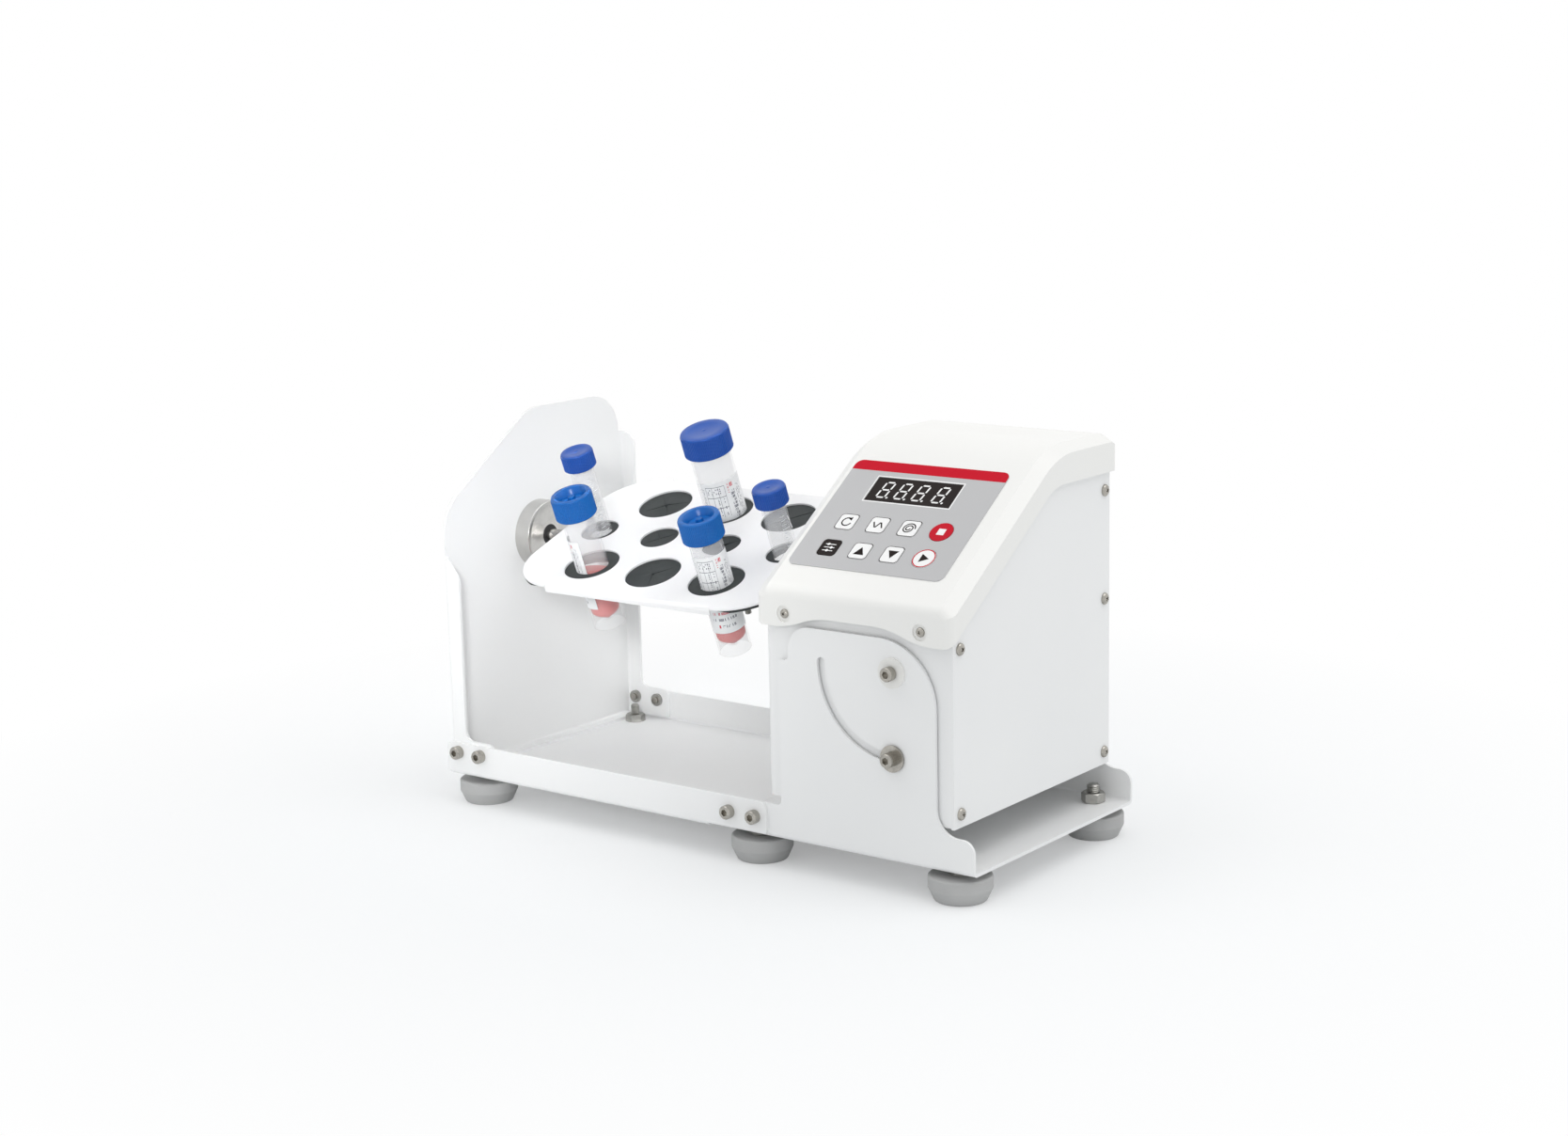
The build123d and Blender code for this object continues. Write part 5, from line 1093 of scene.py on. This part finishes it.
dress(window_black, "display_module")
dress(key_white, "key_1", "key_2", "key_3", "key_6", "key_7", "key_8")
dress(key_black, "key_5")
dress(key_red, "key_4")
print("panel solids dressed")

# %% Band and window line
FILM_LEFT, FILM_RIGHT, BAND_LOW, FILM_HIGH = 65.9, 175.7, 91.0, 99.3
band = rounded_plate(FILM_RIGHT - FILM_LEFT, FILM_HIGH - BAND_LOW, 5.0, INK, only_top=True)
lifted(band, (FILM_LEFT + FILM_RIGHT) / 2, (BAND_LOW + FILM_HIGH) / 2, FILM_TOP)
add_print("panel_band", band, ink_red)

WINDOW_X, WINDOW_Y, WINDOW_WIDE, WINDOW_TALL, LINE_WIDE = 119.2, 75.9, 61.0, 20.6, 0.9
edge_line = frame_plate(rounded_plate(WINDOW_WIDE + 2 * LINE_WIDE, WINDOW_TALL + 2 * LINE_WIDE, 0.4, INK),
                        bar(WINDOW_WIDE, WINDOW_TALL, 1.0))
add_print("window_line", lifted(edge_line, WINDOW_X, WINDOW_Y, FILM_TOP), ink_white)
print("band and window line made")


# %% Display digits
def stroke_bar(length, thick):
    """Flat stroke with its ends cut to a point."""
    bm = flat_bar(length, thick)
    return cut_corners(bm, upright_edges(bm, INK), thick * 0.42, 1)


def digit_eight(wide, tall, thick):
    """All seven strokes of a figure eight, and its point."""
    strokes = []
    run, rise = wide - thick * 0.5, tall / 2 - thick * 0.3
    for y in (-tall / 2, 0.0, tall / 2):
        strokes.append(lifted(stroke_bar(run - thick * 0.6, thick), 0, y, 0))
    for x in (-wide / 2, wide / 2):
        for y in (-tall / 4, tall / 4):
            strokes.append(lifted(stroke_bar(rise - thick * 0.6, thick), x, y, 0, math.pi / 2))
    dot = prism(20, thick * 0.62, 0, INK)
    strokes.append(lifted(dot, wide / 2 + thick * 1.5, -tall / 2, 0))
    return join(*strokes)


LEAN = math.tan(math.radians(8))
DIGIT_WIDE, DIGIT_TALL, STROKE = 6.2, 12.8, 1.2
FIRST_DIGIT, DIGIT_PITCH, LAST_GAP = -20.0, 12.6, 1.6
digits = []
for index in range(4):
    digit = digit_eight(DIGIT_WIDE, DIGIT_TALL, STROKE)
    for v in digit.verts:
        v.co.x += v.co.y * LEAN
    gap = LAST_GAP if index == 3 else 0.0
    digits.append(lifted(digit, WINDOW_X + FIRST_DIGIT + index * DIGIT_PITCH + gap, WINDOW_Y, WINDOW_TOP))
add_print("display_digits", join(*digits), ink_white)
print(len(digits), "digits drawn")

# %% [markdown]
# ## Key symbols
# Every key carries a plain symbol printed on its face, so that the print moves with the key: a turning
# arrow, a zigzag and a spiral for the three kinds of motion, a square for stop, sliders for the
# settings, two triangles for up and down, and a sideways triangle for start. The start key has a red
# printed ring. The white square keys have a thin dark ring painted on the rim of their faces: painted
# shade for the gap round each key. Each symbol is drawn round the origin and then moved onto its key.


# %% Arcs and triangles
def arc_band(middle, wide, start, sweep, x=0.0, y=0.0):
    """Flat band along an arc, angles in degrees."""
    line = [(middle - wide / 2, 0), (middle + wide / 2, 0)]
    bm = spun(line, math.radians(start), math.radians(sweep), max(6, int(sweep / 9)))
    bmesh.ops.remove_doubles(bm, verts=bm.verts, dist=1e-7)
    raised = bmesh.ops.extrude_face_region(bm, geom=bm.faces[:])["geom"]
    top = [v for v in raised if isinstance(v, bmesh.types.BMVert)]
    bmesh.ops.translate(bm, verts=top, vec=(0, 0, INK * MM))
    bmesh.ops.recalc_face_normals(bm, faces=bm.faces)
    return lifted(bm, x, y, 0)


def triangle(wide, tall, turn=0.0, x=0.0, y=0.0):
    """Flat triangle that points up, then turned."""
    bm = prism(3, 1.0, 0, INK)
    span = [v.co.x for v in bm.verts], [v.co.y for v in bm.verts]
    size = [max(values) - min(values) for values in span]
    middle = [(max(values) + min(values)) / 2 for values in span]
    for v in bm.verts:
        v.co.x = (v.co.x - middle[0]) / size[0] * wide * MM
        v.co.y = (v.co.y - middle[1]) / size[1] * tall * MM
    if sum(v.co.x**2 for v in bm.verts if v.co.y > 0) > sum(v.co.x**2 for v in bm.verts if v.co.y < 0):
        turn += math.pi
    return lifted(bm, x, y, 0, turn)


print("symbol parts: arc_band and triangle")


# %% Four symbols
def turning_arrow():
    """Most of a circle, with a head on its open end."""
    return join(arc_band(3.2, 0.9, 60, 285), triangle(3.0, 2.6, math.radians(-30), 1.9, 3.1))


def zigzag():
    """Three strokes that lean in turn."""
    strokes = [flat_bar(5.0, 0.9) for _ in range(3)]
    for index, stroke in enumerate(strokes):
        lifted(stroke, (index - 1) * 2.6, 0, 0, math.radians(62 if index % 2 else -62))
    return join(*strokes)


def spiral():
    """Half circles, each smaller than the last and moved to meet it."""
    radii = (3.9, 3.1, 2.3, 1.5)
    turns = []
    x = 0.0
    for index, radius in enumerate(radii):
        turns.append(arc_band(radius, 0.8, 180 * index, 180, x))
        x += (0.8 if index % 2 else -0.8)
    return join(*turns)


def sliders():
    """Three lines, each with a round knob."""
    parts = []
    for y, knob in ((2.6, -1.6), (0.0, 1.4), (-2.6, -0.4)):
        parts.append(lifted(flat_bar(7.4, 0.6), 0, y, 0))
        parts.append(lifted(prism(20, 0.95, 0, INK * 1.5), knob, y, 0))
    return join(*parts)


print("symbols: turning_arrow, zigzag, spiral and sliders")

# %% Print the keys
KEY_X, KEY_ROWS = (88.0, 110.4, 132.8, 155.2), (46.2, 24.1)
# A thin dark ring round the rim of a white key's face: painted shade for the gap between the key and the
# film round it.
key_gap_shade = as_mesh(frame_plate(rounded_plate(13.0, 13.0, 2.6, INK),
                                  rounded_plate(12.3, 12.3, 2.3, 1.0)))
symbols = {
    "key_1": (turning_arrow(), ink_black),
    "key_2": (zigzag(), ink_black),
    "key_3": (spiral(), ink_black),
    "key_4": (flat_bar(5.0, 5.0), ink_white),
    "key_5": (sliders(), ink_white),
    "key_6": (triangle(7.4, 6.2), ink_black),
    "key_7": (triangle(7.4, 6.2, math.pi), ink_black),
    "key_8": (triangle(6.6, 5.8, -math.pi / 2, 0.5), ink_black),
}
for index, (name, (symbol, ink)) in enumerate(symbols.items()):
    x, y = KEY_X[index % 4], KEY_ROWS[index // 4]
    add_print(f"{name}_symbol", lifted(symbol, x, y, KEY_TOP), ink, name)
    # The white square keys get the dark ring of painted shade along the rim of their faces.
    if name not in ("key_4", "key_5", "key_8"):
        add_print(f"{name}_gap_shade", lifted(reopen(key_gap_shade), x, y, KEY_TOP), ink_black, name)
ring = lifted(arc_band(6.95, 0.7, 0, 360), KEY_X[3], KEY_ROWS[1], KEY_TOP)
add_print("key_8_ring", ring, ink_red, "key_8")
print(len(symbols), "keys printed")

# %% [markdown]
# ## Mains inlet and power switch
# The inlet's cavity holds three flat blades of plated brass. The switch rocker has the two usual marks,
# a line for on and a ring for off, in white on its face.

# %% Inlet blades and rocker marks
INLET_X, SWITCH_X, REAR_Z, HEAD_BACK, BLADE_Y = 92.0, 150.0, 187.0, 90.0, 79.0
brass = finish("brass", (0.62, 0.52, 0.34), (0.54, 0.45, 0.29), 300.0, (0.2, 0.32), 300.0, metal=1.0)
blades = []
for across, up in ((-7.0, -2.0), (0.0, 2.0), (7.0, -2.0)):
    blade = bar(2.2, 15.0, 4.2, at(INLET_X + across, BLADE_Y, REAR_Z + up))
    blades.append(cut_corners(blade, blade.edges[:], 0.35, 2))
add_piece("inlet_blades", join(*blades), "head", brass)

ROCKER = (at(SWITCH_X, HEAD_BACK, REAR_Z) @ Matrix.Rotation(math.radians(-10.0), 4, "Z")
          @ Matrix.Rotation(-math.pi / 2, 4, "X"))
MARK_OUT, FACE_UP = 5.4, 2.76
marks = join(lifted(flat_bar(0.7, 4.2), -MARK_OUT, 0, FACE_UP),
             lifted(arc_band(1.7, 0.6, 0, 360), MARK_OUT, 0, FACE_UP))
bmesh.ops.transform(marks, matrix=ROCKER, verts=marks.verts)
add_piece("rocker_marks", marks, "rocker", ink_white)
print("inlet blades and rocker marks made")
